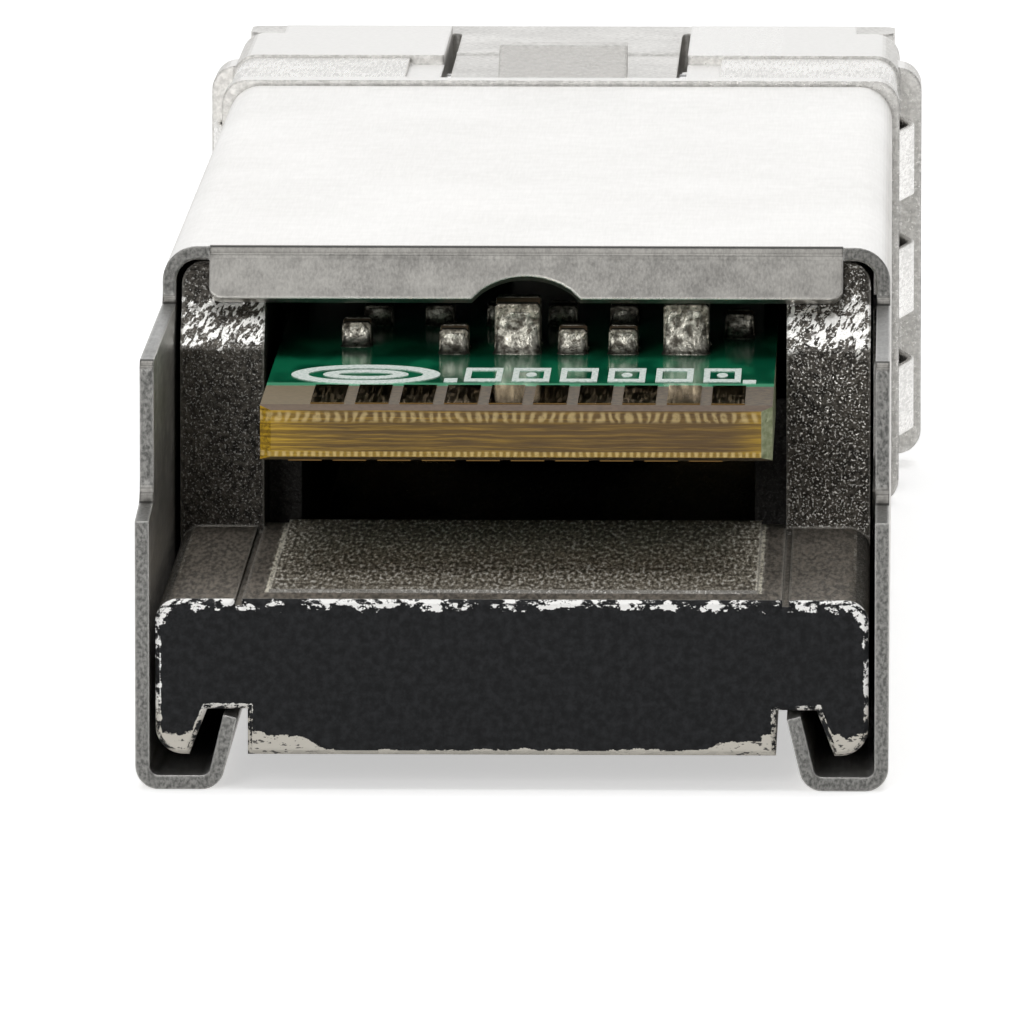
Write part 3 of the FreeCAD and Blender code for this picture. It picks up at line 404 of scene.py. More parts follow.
def cover_steel():
    """Brushed sheet with a painted near-white reflection on top, painted shade at the lip's bend and crease,
    painted highlights along its edges, and torn grey on its cut edges.
    """
    f = Finish("cover_steel", Metallic=1.0)
    face_y, face_z = f.facing()[1:]
    grain = f.noise(0.05 * MM, 3.0, 0.6, (0.8, 24, 1.5))
    tone = f.plus(f.times(grain, 0.5), f.times(f.noise(0.5 * MM, 4.0, 0.6), 0.5))
    brushed = f.spread(tone)
    torn = f.noise(0.06 * MM, 4.0, 0.6, (1, 1, 1.4))
    rounded = f.rounded(0.07 * MM)
    nearness = f.nearness(rounded)

    colour = f.blend(brushed, *STEEL)
    # Painted highlight along each edge, stronger the more the rounded normal turns
    colour = f.blend(f.ramp(nearness, 0.02, 0.2, 0.0, 0.8), colour, STEEL_EDGE_HIGHLIGHT)
    # Painted reflection: faces that look up are drawn nearly white
    top_reflection = f.times(f.ramp(face_z, 0.25, 0.8), f.ramp(face_y, -0.06, -0.03))
    colour = f.blend(f.times(top_reflection, 0.95), colour, f.blend(brushed, *STEEL_TOP_REFLECTION))

    cut_tone = f.blend(f.spread(torn), *STEEL_CUT)
    # Painted highlight along the edges of the cut faces
    cut_tone = f.blend(f.ramp(nearness, 0.03, 0.2, 0.0, 0.75), cut_tone, CUT_EDGE_HIGHLIGHT)
    sheared = f.ramp(face_y, -0.95, -0.9, 1.0, 0.0)
    below_top = f.band(f.axes[2], COVER_TOP - 5 * MM, COVER_TOP - 0.7 * MM, 0.1 * MM)
    step_edge = f.times(below_top, f.ramp(face_z, 0.9, 0.95))
    colour = f.blend(f.most(sheared, f.times(step_edge, 0.9)), colour, cut_tone)

    rear_side = f.ramp(face_y, -0.15, -0.05, 1.0, 0.0)
    # Painted shade over the lip's bend
    bend = f.times(f.times(f.ramp(face_z, 0.42, 0.72), f.ramp(face_z, 0.99, 1.0, 1.0, 0.0)), rear_side)
    colour = f.blend(f.times(bend, 0.9), colour, f.blend(brushed, *STEEL_BEND_SHADE))
    # Painted shade: a dark line along the top of the lip's bend
    crease = f.times(f.band(face_z, 0.92, 0.99, 0.02), rear_side)
    colour = f.blend(f.times(crease, 0.8), colour, STEEL_CREASE_SHADE)

    rough = f.plus(f.spread(tone, 0.34, 0.46), f.spread(f.noise(4 * MM, 3.0, 0.5), -0.04, 0.04))
    height = f.plus(grain, f.times(sheared, f.times(torn, 3.0)))
    return f.set(Base_Color=colour, Roughness=rough, Normal=f.bump(height, 0.003 * MM, 0.5, rounded))


# Casting

def casting_zones(f):
    """The distance from the middle, and masks from 0 to 1 that tell the casting's surfaces apart."""
    x, y, z = f.axes
    face_y, face_z = f.facing()[1:]
    across = f.size(x)
    up = f.ramp(face_z, 0.9, 0.97)
    nose = f.ramp(y, NOSE_Y - 0.05 * MM, NOSE_Y)

    wander = f.times(f.spread(f.noise(0.45 * MM, 3.0), -1.0, 1.0), 0.2 * MM)
    ledge = f.times(f.band(f.plus(z, wander), LEDGE_LOW + 0.1 * MM, LEDGE_HIGH, 0.1 * MM),
                    f.ramp(face_y, -0.4, -0.3, 1.0, 0.0))
    beside_board = f.ramp(across, BOARD_HIGH.x, BOARD_HIGH.x + 0.05 * MM)

    floor = f.ramp(across, SIDE_FLOOR_X - 0.3 * MM, SIDE_FLOOR_X - 0.2 * MM)
    floor = f.times(f.most(floor, f.ramp(y, *PLATFORM_EDGE, 1.0, 0.0)), up)
    platform = f.times(up, f.without(f.most(floor, nose)))

    # Painted shade deep in the hollow behind the rear face, between the side walls
    cavity_shade = f.times(f.ramp(y, *CAVITY_START), f.ramp(z, *CAVITY_FLOOR))
    between_walls = f.ramp(across, SIDE_FLOOR_X + MM, SIDE_FLOOR_X + 1.1 * MM, 1.0, 0.0)
    return SimpleNamespace(
        across=across, nose=nose, floor=floor,
        # Painted highlight on the nose's top faces
        nose_top_highlight=f.ramp(face_z, 0.9, 0.97, 0.0, 0.8),
        ledge=f.times(ledge, f.times(f.without(nose), beside_board)),
        platform=f.times(platform, f.ramp(y, *PLATFORM_EDGE)),
        cavity_shade=f.times(cavity_shade, f.times(f.without(nose), between_walls)),
        rear=f.ramp(y, REAR_Y + 0.1 * MM, REAR_Y + 0.14 * MM, 1.0, 0.0),
        chamfer=f.ramp(face_y, -0.97, -0.9))


def pebbled_tone(f, zone):
    """Colour of the raised platform: small pebbles made pale as painted light against the board's shadow,
    painted glints on their tips, painted shade near the rear, and a painted highlight along its pale rim.
    """
    pebbles = f.noise(0.055 * MM, 3.0, 0.6, (1.2, 7, 1), 4.0)
    # Pebbles paler than the rest of the skin: painted light against the board's shadow
    tone = f.blend(f.ramp(pebbles, 0.38, 0.56), *PEBBLES)
    # Painted glints on the pebbles' tips
    tone = f.blend(f.ramp(pebbles, 0.54, 0.64), tone, PEBBLE_GLINT)
    # Painted shade on the platform near the rear face
    tone = f.blend(f.ramp(f.axes[1], *PLATFORM_SHADE, 0.5, 0.0), tone, PEBBLE_SHADE)
    # Painted highlight along the platform's rim
    rim = f.band(zone.across, PLATFORM_HALF - 0.02 * MM, PLATFORM_HALF + 0.07 * MM, 0.02 * MM)
    return f.blend(f.times(rim, f.ramp(pebbles, 0.4, 0.55, 0.3, 0.9)), tone, PLATFORM_RIM_HIGHLIGHT)


def slanted_strokes(f):
    """Short slanted strokes, as filing leaves them, that break up the ledge's painted highlight."""
    slant = f.node("Mapping", {"Vector": f.place, "Rotation": (0, math.radians(32), 0),
                               "Scale": (0.08 * MM, 0.25 * MM, 0.2 * MM)}, vector_type="TEXTURE")
    return f.node("TexNoise", {"Vector": slant.outputs[0], "Scale": 1.0, "Detail": 3.0}).outputs["Fac"]


def casting_skin(f, zone, grit, glints, nearness):
    """Colour of the casting away from its dark rear face, with painted glints, painted highlights and painted
    shade.
    """
    clouds = f.noise(1.6 * MM, 3.0, 0.55)
    skin = f.blend(f.ramp(grit, 0.35, 0.66), *ZINC)
    skin = f.blend(f.ramp(clouds, 0.35, 0.7, 0.0, 0.35), skin, ZINC_CLOUD)
    rubbed = f.noise(0.07 * MM, 3.0, 0.6, (1, 6, 1), 8.0)
    floor_tone = f.plus(f.times(f.ramp(rubbed, 0.34, 0.66), 0.65), f.times(clouds, 0.35))
    skin = f.blend(f.times(zone.floor, 0.85), skin, f.blend(floor_tone, *SIDE_FLOOR))
    # Painted glints on the grain
    skin = f.blend(f.times(glints, 0.9), skin, ZINC_GLINT)
    skin = f.blend(zone.platform, skin, pebbled_tone(f, zone))
    # Painted highlight on the sloping ledge, broken into slanted strokes
    skin = f.blend(f.times(zone.ledge, f.ramp(slanted_strokes(f), 0.49, 0.55)), skin, ZINC_LEDGE_HIGHLIGHT)
    # Painted highlight along the casting's edges
    skin = f.blend(f.ramp(nearness, 0.05, 0.2, 0.0, 0.6), skin, ZINC_EDGE_HIGHLIGHT)
    # Painted highlight on the nose's top faces, over its plating
    plating = f.blend(zone.nose_top_highlight, f.blend(f.spread(grit), *NOSE_PLATING), NOSE_TOP_HIGHLIGHT)
    skin = f.blend(zone.nose, skin, plating)
    # Painted shade deep in the hollow
    return f.blend(f.times(zone.cavity_shade, 0.9), skin, f.blend(grit, *CAVITY_SHADE))


def rear_edge_distance(f, across):
    """How far a point of the rear face lies from its outline or from a hook slot."""
    z = f.axes[2]
    over_x = f.minus(across, REAR_HALF - REAR_CORNER)
    from_middle = f.size(f.minus(z, (REAR_TOP + REAR_LOW) / 2))
    over_z = f.minus(from_middle, (REAR_TOP - REAR_LOW) / 2 - REAR_CORNER)
    outside = f.length(f.most(over_x, 0.0), f.most(over_z, 0.0))
    inside = f.least(f.most(over_x, over_z), 0.0)
    outline = f.minus(f.minus(REAR_CORNER, outside), inside)
    lean = f.times(f.minus(SLOT_ROOF, z), SLOT_LEAN)
    slot_right = f.plus(f.most(lean, 0.0), SLOT_OUTER)
    beside = f.most(f.most(f.minus(SLOT_INNER, across), f.minus(across, slot_right)), 0.0)
    above = f.most(f.minus(z, SLOT_ROOF), 0.0)
    return f.least(outline, f.length(beside, above))


def rear_edge_glints(f, zone):
    """Where painted highlights run along the rear face's edges and over its chamfers, and where its foot is.
    """
    z = f.axes[2]
    ragged = f.noise(0.22 * MM, 5.0, 0.72, (1.4, 1, 0.9), 7.0)
    drift = f.spread(f.noise(1.3 * MM, 2.0, 0.5, shift=2.0), -1.0, 1.0)
    at_top = f.ramp(z, *TOP_BAND)
    foot_line = f.plus(z, f.spread(ragged, -0.06 * MM, 0.06 * MM))
    at_foot = f.times(f.ramp(foot_line, *FOOT_BAND, 1.0, 0.0),
                      f.band(zone.across, SLOT_INNER - 0.7 * MM, REAR_HALF, 0.7 * MM))
    reach = f.plus(f.times(at_top, GLINT_TOP_REACH), f.times(at_foot, GLINT_FOOT_REACH))
    reach = f.plus(reach, GLINT_REACH)
    swing = f.times(f.ramp(ragged, 0.28, 0.72, -1.0, 1.0),
                    f.plus(f.times(at_top, GLINT_TOP_SWING), GLINT_SWING))
    swing = f.plus(swing, f.times(drift, f.plus(f.times(at_foot, GLINT_FOOT_DRIFT), GLINT_DRIFT)))
    inwards = f.minus(f.plus(reach, swing), rear_edge_distance(f, zone.across))
    # Painted highlight along the rear face's outline and round its hook slots
    edge_glint = f.ramp(inwards, -GLINT_EDGE, GLINT_EDGE)
    # Painted highlight in ragged patches on the chamfers
    edge_glint = f.most(f.times(edge_glint, f.without(zone.chamfer)), f.times(zone.chamfer, f.ramp(ragged, 0.5, 0.54)))
    # Painted highlight along the sole of the bottom chamfer
    at_sole = f.times(zone.chamfer, f.ramp(z, REAR_LOW, REAR_LOW + 0.04 * MM, 0.85, 0.0))
    return f.most(edge_glint, at_sole), at_foot


def cast_zinc():
    """Grey die casting with a gritty skin; its rear face is drawn near black as a painted dark reflection,
    with painted highlights along its edges.
    """
    f = Finish("cast_zinc", Specular_IOR_Level=0.3)
    x, z = f.axes[0], f.axes[2]
    zone = casting_zones(f)
    grit = f.noise(0.11 * MM, 3.0, 0.6)
    fine = f.noise(0.045 * MM, 2.0, 0.6, shift=3.0)
    rounded = f.rounded(0.1 * MM, 4)
    # Painted glints where the fine grain peaks, fewer towards the left side, where less light falls
    glints = f.times(f.ramp(fine, 0.56, 0.64), f.ramp(x, -REAR_HALF, REAR_HALF, 0.4, 1.0))
    glints = f.times(glints, f.without(f.times(zone.floor, 0.8)))
    skin = casting_skin(f, zone, grit, glints, f.nearness(rounded))

    # Painted highlights along the rear face's edges, and the band of its foot
    edge_glint, at_foot = rear_edge_glints(f, zone)
    # Where the painted dark reflection covers the rear face, between its edge highlights
    painted = f.times(zone.rear, f.without(edge_glint))
    # Colour of the painted dark reflection
    dark_reflection = f.blend(f.ramp(f.noise(0.16 * MM, 5.0, 0.7), 0.35, 0.7), *REAR_DARK_REFLECTION)
    # Colour of the rear face's painted edge highlight, brighter higher up
    bare = f.blend(f.ramp(z, *REAR_HIGHLIGHT_BAND), *REAR_EDGE_HIGHLIGHT)
    # Dark flecks that break up the painted highlight at the foot
    flecks = f.ramp(f.noise(0.09 * MM, 3.0, 0.6, (2.2, 1, 1), 6.0), 0.57, 0.61)
    bare = f.blend(f.times(flecks, f.times(at_foot, 0.9)), bare, REAR_DARK_FLECK)
    colour = f.blend(painted, f.blend(zone.rear, skin, bare), dark_reflection)

    metal = f.without(f.most(zone.rear, f.times(zone.platform, 0.7)))
    metal = f.times(metal, f.ramp(zone.nose, 0.0, 1.0, 0.6, 0.9))
    rough = f.ramp(f.most(glints, zone.ledge), 0.0, 1.0, 0.5, 0.26)
    rough = f.plus(f.times(rough, f.without(painted)), f.times(painted, 0.8))
    coarse = f.plus(f.times(grit, 0.8), f.times(fine, 0.35))
    calm = f.most(f.times(zone.rear, 0.94), f.most(f.times(zone.floor, 0.75), f.times(zone.nose, 0.8)))
    return f.set(Base_Color=colour, Metallic=metal, Roughness=rough,
                 Normal=f.bump(f.times(coarse, f.without(calm)), 0.045 * MM, 0.9, rounded))


# Board

def tuft_rows(f, cloth):
    """Cut glass tufts on the board's end, a slanting row at the top and an even one at the foot."""
    x, z = f.axes[0], f.axes[2]
    jitter = f.times(f.noise(0.25 * MM, 3.0), 4.0)
    lean = f.ramp(f.noise(0.6 * MM), 0.4, 0.6, -1.0, 1.0)
    slant = f.times(f.times(f.minus(z, BOARD_TOP), lean), TUFT_SLANT)
    upper_wave = f.sine(f.plus(f.plus(f.times(x, 2 * math.pi / UPPER_TUFT), jitter), slant))
    lower_wave = f.sine(f.plus(f.times(x, 2 * math.pi / LOWER_TUFT), jitter))
    upper_row = f.band(z, BOARD_TOP - 0.25 * MM, BOARD_TOP - 0.15 * MM, 0.07 * MM)
    lower_row = f.band(z, BOARD_LOW.z + 0.10 * MM, BOARD_LOW.z + 0.16 * MM, 0.03 * MM)
    tufted = f.plus(f.times(f.ramp(upper_wave, -0.9, 1.1), f.times(upper_row, 0.5)),
                    f.times(f.ramp(lower_wave, -0.9, 0.9), f.times(lower_row, 0.75)))
    return f.times(tufted, f.ramp(cloth, 0.25, 0.5, 0.4, 1.0)), lower_row


def board_end(f, streaks, tufted, lower_row):
    """Colour of the board's cut end: streaked layers, yellow resin at the sides and the foot, and tufts."""
    x, z = f.axes[0], f.axes[2]
    warp = f.plus(z, f.times(f.ramp(f.noise(1.4 * MM, 2.0), 0.2, 0.8, -1.0, 1.0), 0.03 * MM))
    layer = f.node("TexNoise", {"W": f.times(warp, 1 / (0.075 * MM)), "Scale": 1.0, "Detail": 1.0},
                   noise_dimensions="1D").outputs["Fac"]
    core = f.blend(f.ramp(streaks, 0.36, 0.64), *LAYERS)
    core = f.blend(f.ramp(layer, 0.4, 0.62, 0.0, 0.55), core, LAYER_DARK)
    core = f.blend(f.ramp(x, BOARD_LOW.x * 0.7, BOARD_HIGH.x * 0.8, 0.0, 0.45), core, LAYER_WARM)
    sides = f.plus(f.ramp(x, BOARD_LOW.x, BOARD_LOW.x + 1.4 * MM, 0.7, 0.0),
                   f.ramp(x, BOARD_HIGH.x - 0.9 * MM, BOARD_HIGH.x, 0.0, 0.6))
    core = f.blend(f.times(sides, f.ramp(streaks, 0.34, 0.6, 0.35, 1.0)), core, RESIN_END)
    core = f.blend(f.ramp(layer, 0.48, 0.6, 0.0, 0.5), core, LAYER_LINE)
    core = f.blend(tufted, core, TUFT)
    core = f.blend(f.times(lower_row, 0.3), core, RESIN_ROW)
    return f.blend(f.ramp(z, BOARD_LOW.z, BOARD_LOW.z + 0.06 * MM, 0.7, 0.0), core, RESIN_FOOT)


def board_face(f, cloth):
    """Colour of the board's flat faces: bare cloth round the contacts, and green mask behind them."""
    x, y = f.axes[:2]
    traces = f.noise(0.8 * MM, 2.0, 0.4, (1, 3, 1))
    masked = f.blend(f.ramp(traces, 0.42, 0.58), *MASK)
    masked = f.blend(f.ramp(y, MASK_Y + 0.4 * MM, MASK_Y + 0.6 * MM, 0.85, 0.0), masked, MASK_BORDER)
    bare = f.blend(f.ramp(cloth, 0.35, 0.65), *BARE_BOARD)
    bare = f.blend(f.ramp(x, BOARD_LOW.x + 0.6 * MM, BOARD_LOW.x + 2.2 * MM, 0.6, 0.0), bare, BARE_TAN)
    return f.blend(f.ramp(y, *MASK_EDGE), bare, masked)


def board_green():
    """Glossy green mask behind the contacts, bare glass cloth at the card edge, layers on the cut faces."""
    f = Finish("board_green")
    y = f.axes[1]
    face_x, face_y, face_z = f.facing()
    cloth = f.noise(0.12 * MM, 3.0, 0.6)
    streaks = f.noise(0.05 * MM, 4.0, 0.65, (26, 1, 1))
    tufted, lower_row = tuft_rows(f, cloth)
    end_face = f.ramp(face_y, -0.6, -0.5, 1.0, 0.0)
    side_face = f.most(f.ramp(face_x, 0.5, 0.6), f.ramp(face_x, -0.9, -0.8, 1.0, 0.0))
    bevel = f.times(f.band(face_z, 0.3, 0.985, 0.01), f.ramp(face_y, -0.12, -0.06, 1.0, 0.0))
    colour = f.blend(end_face, board_face(f, cloth), board_end(f, streaks, tufted, lower_row))
    colour = f.blend(f.times(bevel, 0.85), colour, f.blend(cloth, *BOARD_BEVEL))
    colour = f.blend(side_face, colour, f.blend(f.spread(cloth), *BOARD_SIDE))
    cut = f.most(end_face, side_face)
    is_bare = f.most(cut, f.ramp(y, *MASK_EDGE, 1.0, 0.0))
    rough = f.ramp(is_bare, 0.0, 1.0, 0.12, 0.55)
    height = f.plus(f.times(streaks, f.times(cut, 0.7)), f.plus(f.times(cloth, 0.2), f.times(tufted, 0.6)))
    height = f.times(height, f.plus(is_bare, 0.06))
    return f.set(Base_Color=colour, Roughness=rough, Normal=f.bump(height, 0.03 * MM, 0.8))


def contact_gold():
    """Gold pads with fine scratches along them and darker cut ends."""
    f = Finish("contact_gold", Metallic=1.0)
    scratch = f.noise(0.03 * MM, 2.0, 0.5, (1, 30, 1))
    wear = f.noise(0.7 * MM, 4.0, 0.6)
    colour = f.blend(f.ramp(wear, 0.35, 0.7), *GOLD)
    colour = f.blend(f.ramp(f.facing()[1], -0.6, -0.4, 0.9, 0.0), colour, GOLD_END)
    rough = f.plus(f.ramp(scratch, 0.4, 0.7, 0.06, 0.14), f.ramp(wear, 0.5, 0.8, 0.0, 0.08))
    return f.set(Base_Color=colour, Roughness=rough, Normal=f.bump(scratch, 0.001 * MM, 0.15))


def terminal_tin(name, dark, light):
    """Dull tin or solder, lumpy and pitted."""
    f = Finish(name, Metallic=1.0)
    lumps = f.noise(0.16 * MM, 4.0, 0.6)
    pits = f.noise(0.1 * MM, 2.0, 0.5, shift=5.0)
    colour = f.blend(f.ramp(lumps, 0.34, 0.66), dark, light)
    colour = f.blend(f.ramp(pits, 0.6, 0.68, 0.0, 0.85), colour, TIN_PIT)
    height = f.plus(f.times(lumps, 0.8), f.times(pits, 0.3))
    return f.set(Base_Color=colour, Roughness=f.spread(lumps, 0.54, 0.32),
                 Normal=f.bump(height, 0.035 * MM, 0.9, f.rounded(0.06 * MM)))


def ceramic(name, dark, light, rough_low=0.4):
    """Fired ceramic of a chip part, with fine speckle."""
    f = Finish(name)
    speckle = f.noise(0.04 * MM, 3.0, 0.6)
    clouds = f.noise(0.6 * MM, 2.0)
    colour = f.blend(f.plus(f.times(speckle, 0.6), f.times(clouds, 0.4)), dark, light)
    return f.set(Base_Color=colour, Roughness=f.spread(speckle, rough_low, rough_low + 0.2),
                 Normal=f.bump(speckle, 0.006 * MM, 0.6))


def chip_black():
    """Moulded black package."""
    f = Finish("chip_black")
    moulding = f.noise(0.05 * MM, 4.0, 0.65)
    rough = f.plus(f.spread(moulding, 0.42, 0.6), f.spread(f.noise(1.1 * MM, 2.0), -0.06, 0.06))
    return f.set(Base_Color=f.blend(moulding, *CHIP), Roughness=rough,
                 Normal=f.bump(moulding, 0.008 * MM, 0.7))


def thermal_gel():
    """Soft grey filler between the driver chip and the cover."""
    f = Finish("thermal_gel", Subsurface_Weight=0.1)
    grain = f.noise(0.12 * MM, 4.0, 0.6)
    return f.set(Base_Color=f.blend(grain, *GEL), Roughness=f.spread(grain, 0.6, 0.75),
                 Normal=f.bump(grain, 0.02 * MM, 0.8))


def ink_white():
    """White printing ink, thin in places."""
    f = Finish("ink_white")
    grain = f.noise(0.07 * MM, 4.0, 0.65)
    return f.set(Base_Color=f.blend(f.ramp(grain, 0.3, 0.62), *INK), Roughness=f.spread(grain, 0.5, 0.7),
                 Normal=f.bump(grain, 0.004 * MM, 0.6))


# Optics and latch

def plated(name, dark, light, grain_size, rough_low, rough_high, depth, stretch=(1, 1, 1)):
    """Metal with a fine surface grain, clouded tone and a painted highlight along its edges."""
    f = Finish(name, Metallic=1.0)
    grain = f.noise(grain_size, 3.0, 0.6, stretch)
    clouds = f.noise(2.2 * MM, 4.0, 0.55)
    rounded = f.rounded(0.1 * MM)
    tone = f.plus(f.times(grain, 0.6), f.times(clouds, 0.4))
    colour = f.blend(f.spread(tone), dark, light)
    # Painted highlight along the edges
    colour = f.blend(f.ramp(f.nearness(rounded), 0.03, 0.22, 0.0, 0.6), colour, PLATED_EDGE_HIGHLIGHT)
    rough = f.ramp(tone, 0.32, 0.68, rough_high, rough_low)
    return f.set(Base_Color=colour, Roughness=rough, Normal=f.bump(grain, depth, 0.7, rounded))


def sleeve_zirconia():
    """Polished white ceramic sleeve."""
    f = Finish("sleeve_zirconia", Coat_Weight=0.3, Coat_Roughness=0.1, Subsurface_Weight=0.05)
    grain = f.noise(0.2 * MM, 3.0)
    return f.set(Base_Color=f.blend(grain, *ZIRCONIA), Roughness=f.spread(grain, 0.22, 0.34),
                 Normal=f.bump(grain, 0.003 * MM, 0.4))


def flex_polyimide():
    """Amber film with copper runs showing through it."""
    f = Finish("flex_polyimide", Coat_Weight=0.4, Coat_Roughness=0.15)
    film = f.noise(0.3 * MM, 4.0, 0.6)
    runs = f.ramp(f.sine(f.times(f.axes[0], 2 * math.pi / (0.5 * MM))), 0.1, 0.35)
    colour = f.blend(f.times(runs, 0.8), f.blend(film, *POLYIMIDE), COPPER_RUN)
    return f.set(Base_Color=colour, Roughness=f.spread(film, 0.24, 0.38),
                 Normal=f.bump(runs, 0.012 * MM, 0.6))


def holder_plastic():
    """Dark moulded clamp for the barrels."""
    f = Finish("holder_plastic")
    grain = f.noise(0.07 * MM, 3.0, 0.6)
    clouds = f.noise(1.5 * MM, 2.0)
    colour = f.blend(f.plus(f.times(grain, 0.5), f.times(clouds, 0.5)), *HOLDER)
    return f.set(Base_Color=colour, Roughness=f.spread(grain, 0.42, 0.58),
                 Normal=f.bump(grain, 0.01 * MM, 0.7))


# Pieces added on the board

def new_piece(name, mesh, material, body):
    piece = bpy.data.objects.new(name, mesh)
    bpy.context.scene.collection.objects.link(piece)
    piece.data.materials.append(material)
    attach(piece, body)
    return piece


def mesh_of(name, build):
    made = bmesh.new()
    build(made)
    bmesh.ops.recalc_face_normals(made, faces=made.faces)
    mesh = bpy.data.meshes.new(name)
    made.to_mesh(mesh)
    made.free()
    return mesh


def linked_verts(start, left):
    """The points joined to a start point by edges, taken out of those left."""
    group = [start]
    for vert in group:
        for edge in vert.link_edges:
            other = edge.other_vert(vert)
            if other in left:
                left.remove(other)
                group.append(other)
    return group


def islands(node):
    """The low and high corners of each separate solid in a node, in order from left to right."""
    made = bmesh.new()
    made.from_mesh(nodes[node].data)
    bmesh.ops.remove_doubles(made, verts=made.verts, dist=SAME_POINT)
    left = set(made.verts)
    boxes = []
    while left:
        group = linked_verts(left.pop(), left)
        boxes.append(tuple(Vector(pick(v.co[i] for v in group) for i in range(3)) for pick in (min, max)))
    made.free()
    return sorted(boxes, key=lambda box: (round(box[0].x, 6), round(box[0].y, 6)))


def ink_loops(made, points):
    """A loop of points on the underside and one on the upper side of the ink."""
    levels = BOARD_TOP - INK_SINK, BOARD_TOP + INK_RISE
    return [[made.verts.new((x, y, z)) for x, y in points] for z in levels]


def join_loops(made, *pairs):
    """A strip of faces between the two loops of each pair."""
    count = len(pairs[0][0])
    for i in range(count):
        j = (i + 1) % count
        for first, second in pairs:
            made.faces.new((first[i], first[j], second[j], second[i]))


def ink_outline(made, outer, inner):
    """A flat printed band between an outer and an inner loop of points."""
    outer_low, outer_high = ink_loops(made, outer)
    inner_low, inner_high = ink_loops(made, inner)
    join_loops(made, (outer_high, inner_high), (outer_low, inner_low), (outer_low, outer_high),
               (inner_low, inner_high))


def ink_patch(made, points):
    """A flat printed patch inside a loop of points."""
    low, high = ink_loops(made, points)
    made.faces.new(low)
    made.faces.new(high)
    join_loops(made, (low, high))


def ellipse(centre, across, along, count):
    turns = [2 * math.pi * i / count for i in range(count)]
    return [(centre[0] + across * math.cos(turn), centre[1] + along * math.sin(turn)) for turn in turns]


def corners(centre, across, along):
    x, y = centre
    signs = (-1, -1), (1, -1), (1, 1), (-1, 1)
    return [(x + across * right, y + along * ahead) for right, ahead in signs]


def printed_marks(made):
    """A target ring, then a row of frames between two small squares, every second frame with a dot."""
    row = MASK_Y + MARK_ROW
    ring = RING_X, row
    for outer, inner in (OUTER_RING, INNER_RING):
        ink_outline(made, ellipse(ring, *outer, RING_POINTS), ellipse(ring, *inner, RING_POINTS))
    first_square = FIRST_SQUARE[0], row + FIRST_SQUARE[1]
    ink_patch(made, corners(first_square, SQUARE_ACROSS, FIRST_SQUARE_ALONG))
    for step in range(FRAME_COUNT):
        place = (FRAME_START + step * FRAME_PITCH, row)
        ink_outline(made, corners(place, FRAME_ACROSS, FRAME_ALONG),
                    corners(place, FRAME_ACROSS - INK_ACROSS, FRAME_ALONG - INK_ALONG))
        if step % 2:
            ink_patch(made, ellipse(place, DOT_ACROSS, DOT_ALONG, DOT_POINTS))
    last_square = LAST_SQUARE[0], row + LAST_SQUARE[1]
    ink_patch(made, corners(last_square, SQUARE_ACROSS, LAST_SQUARE_ALONG))


def solder_front(made, box, side, chance):
    """The hollow curve of a fillet, in rows from the board up to the metal."""
    low, high = box
    face_y = low.y if side < 0 else high.y
    rise = (high.z - BOARD_TOP) * chance.uniform(*SOLDER_RISE)
    reach = chance.uniform(*SOLDER_REACH)
    half = (high.x - low.x) / 2
    middle = (high.x + low.x) / 2
    grid = []
    for step in range(SOLDER_STEPS + 1):
        climb = step / SOLDER_STEPS
        out = reach * (1 - math.sin(climb * math.pi / 2))
        up = rise * (1 - math.cos(climb * math.pi / 2))
        spread = half * (1 - SOLDER_TAPER * climb) + SOLDER_FLARE * (1 - climb) ** 3
        row = []
        for place in range(SOLDER_ACROSS + 1):
            share = 2 * place / SOLDER_ACROSS - 1
            pinch = math.sqrt(max(0.0, 1 - abs(share) ** 5))
            wobble = chance.uniform(-SOLDER_WOBBLE, SOLDER_WOBBLE)
            y = face_y + side * (out * (SOLDER_SIDE_REACH + (1 - SOLDER_SIDE_REACH) * pinch) + wobble)
            z = BOARD_TOP - SOLDER_SINK + up * (SOLDER_SIDE_RISE + (1 - SOLDER_SIDE_RISE) * pinch)
            row.append(made.verts.new((middle + share * spread, y, z)))
        grid.append(row)
    return grid, face_y - side * SOLDER_DEPTH


def solder_fillet(made, box, side, chance):
    """Solder drawn up one end face of a terminal, closed by a flat back inside the metal."""
    grid, back_y = solder_front(made, box, side, chance)
    backs = [[made.verts.new((vert.co.x, back_y, vert.co.z)) for vert in row] for row in grid]
    for step in range(SOLDER_STEPS):
        for place in range(SOLDER_ACROSS):
            for rows in (grid, backs):
                made.faces.new((rows[step][place], rows[step][place + 1],
                                rows[step + 1][place + 1], rows[step + 1][place]))
        for place in (0, SOLDER_ACROSS):
            made.faces.new((grid[step][place], grid[step + 1][place],
                            backs[step + 1][place], backs[step][place]))
    for step in (0, SOLDER_STEPS):
        for place in range(SOLDER_ACROSS):
            made.faces.new((grid[step][place], grid[step][place + 1],
                            backs[step][place + 1], backs[step][place]))


def solder_group(node, seed):
    """Fillets for every terminal of a node, each on the end that faces away from its part."""
    chance = random.Random(seed)
    boxes = islands(node)

    def build(made):
        for box in boxes:
            mates = [b for b in boxes if abs(b[0].x - box[0].x) < SAME_PART and b is not box]
            mate = min(mates, key=lambda b: abs(b[0].y - box[0].y))
            side = -1 if box[0].y < mate[0].y else 1
            solder_fillet(made, box, side, chance)
    return build


def smooth(piece):
    for polygon in piece.data.polygons:
        polygon.use_smooth = True
    piece.data.set_sharp_from_angle(angle=SMOOTH_ANGLE)


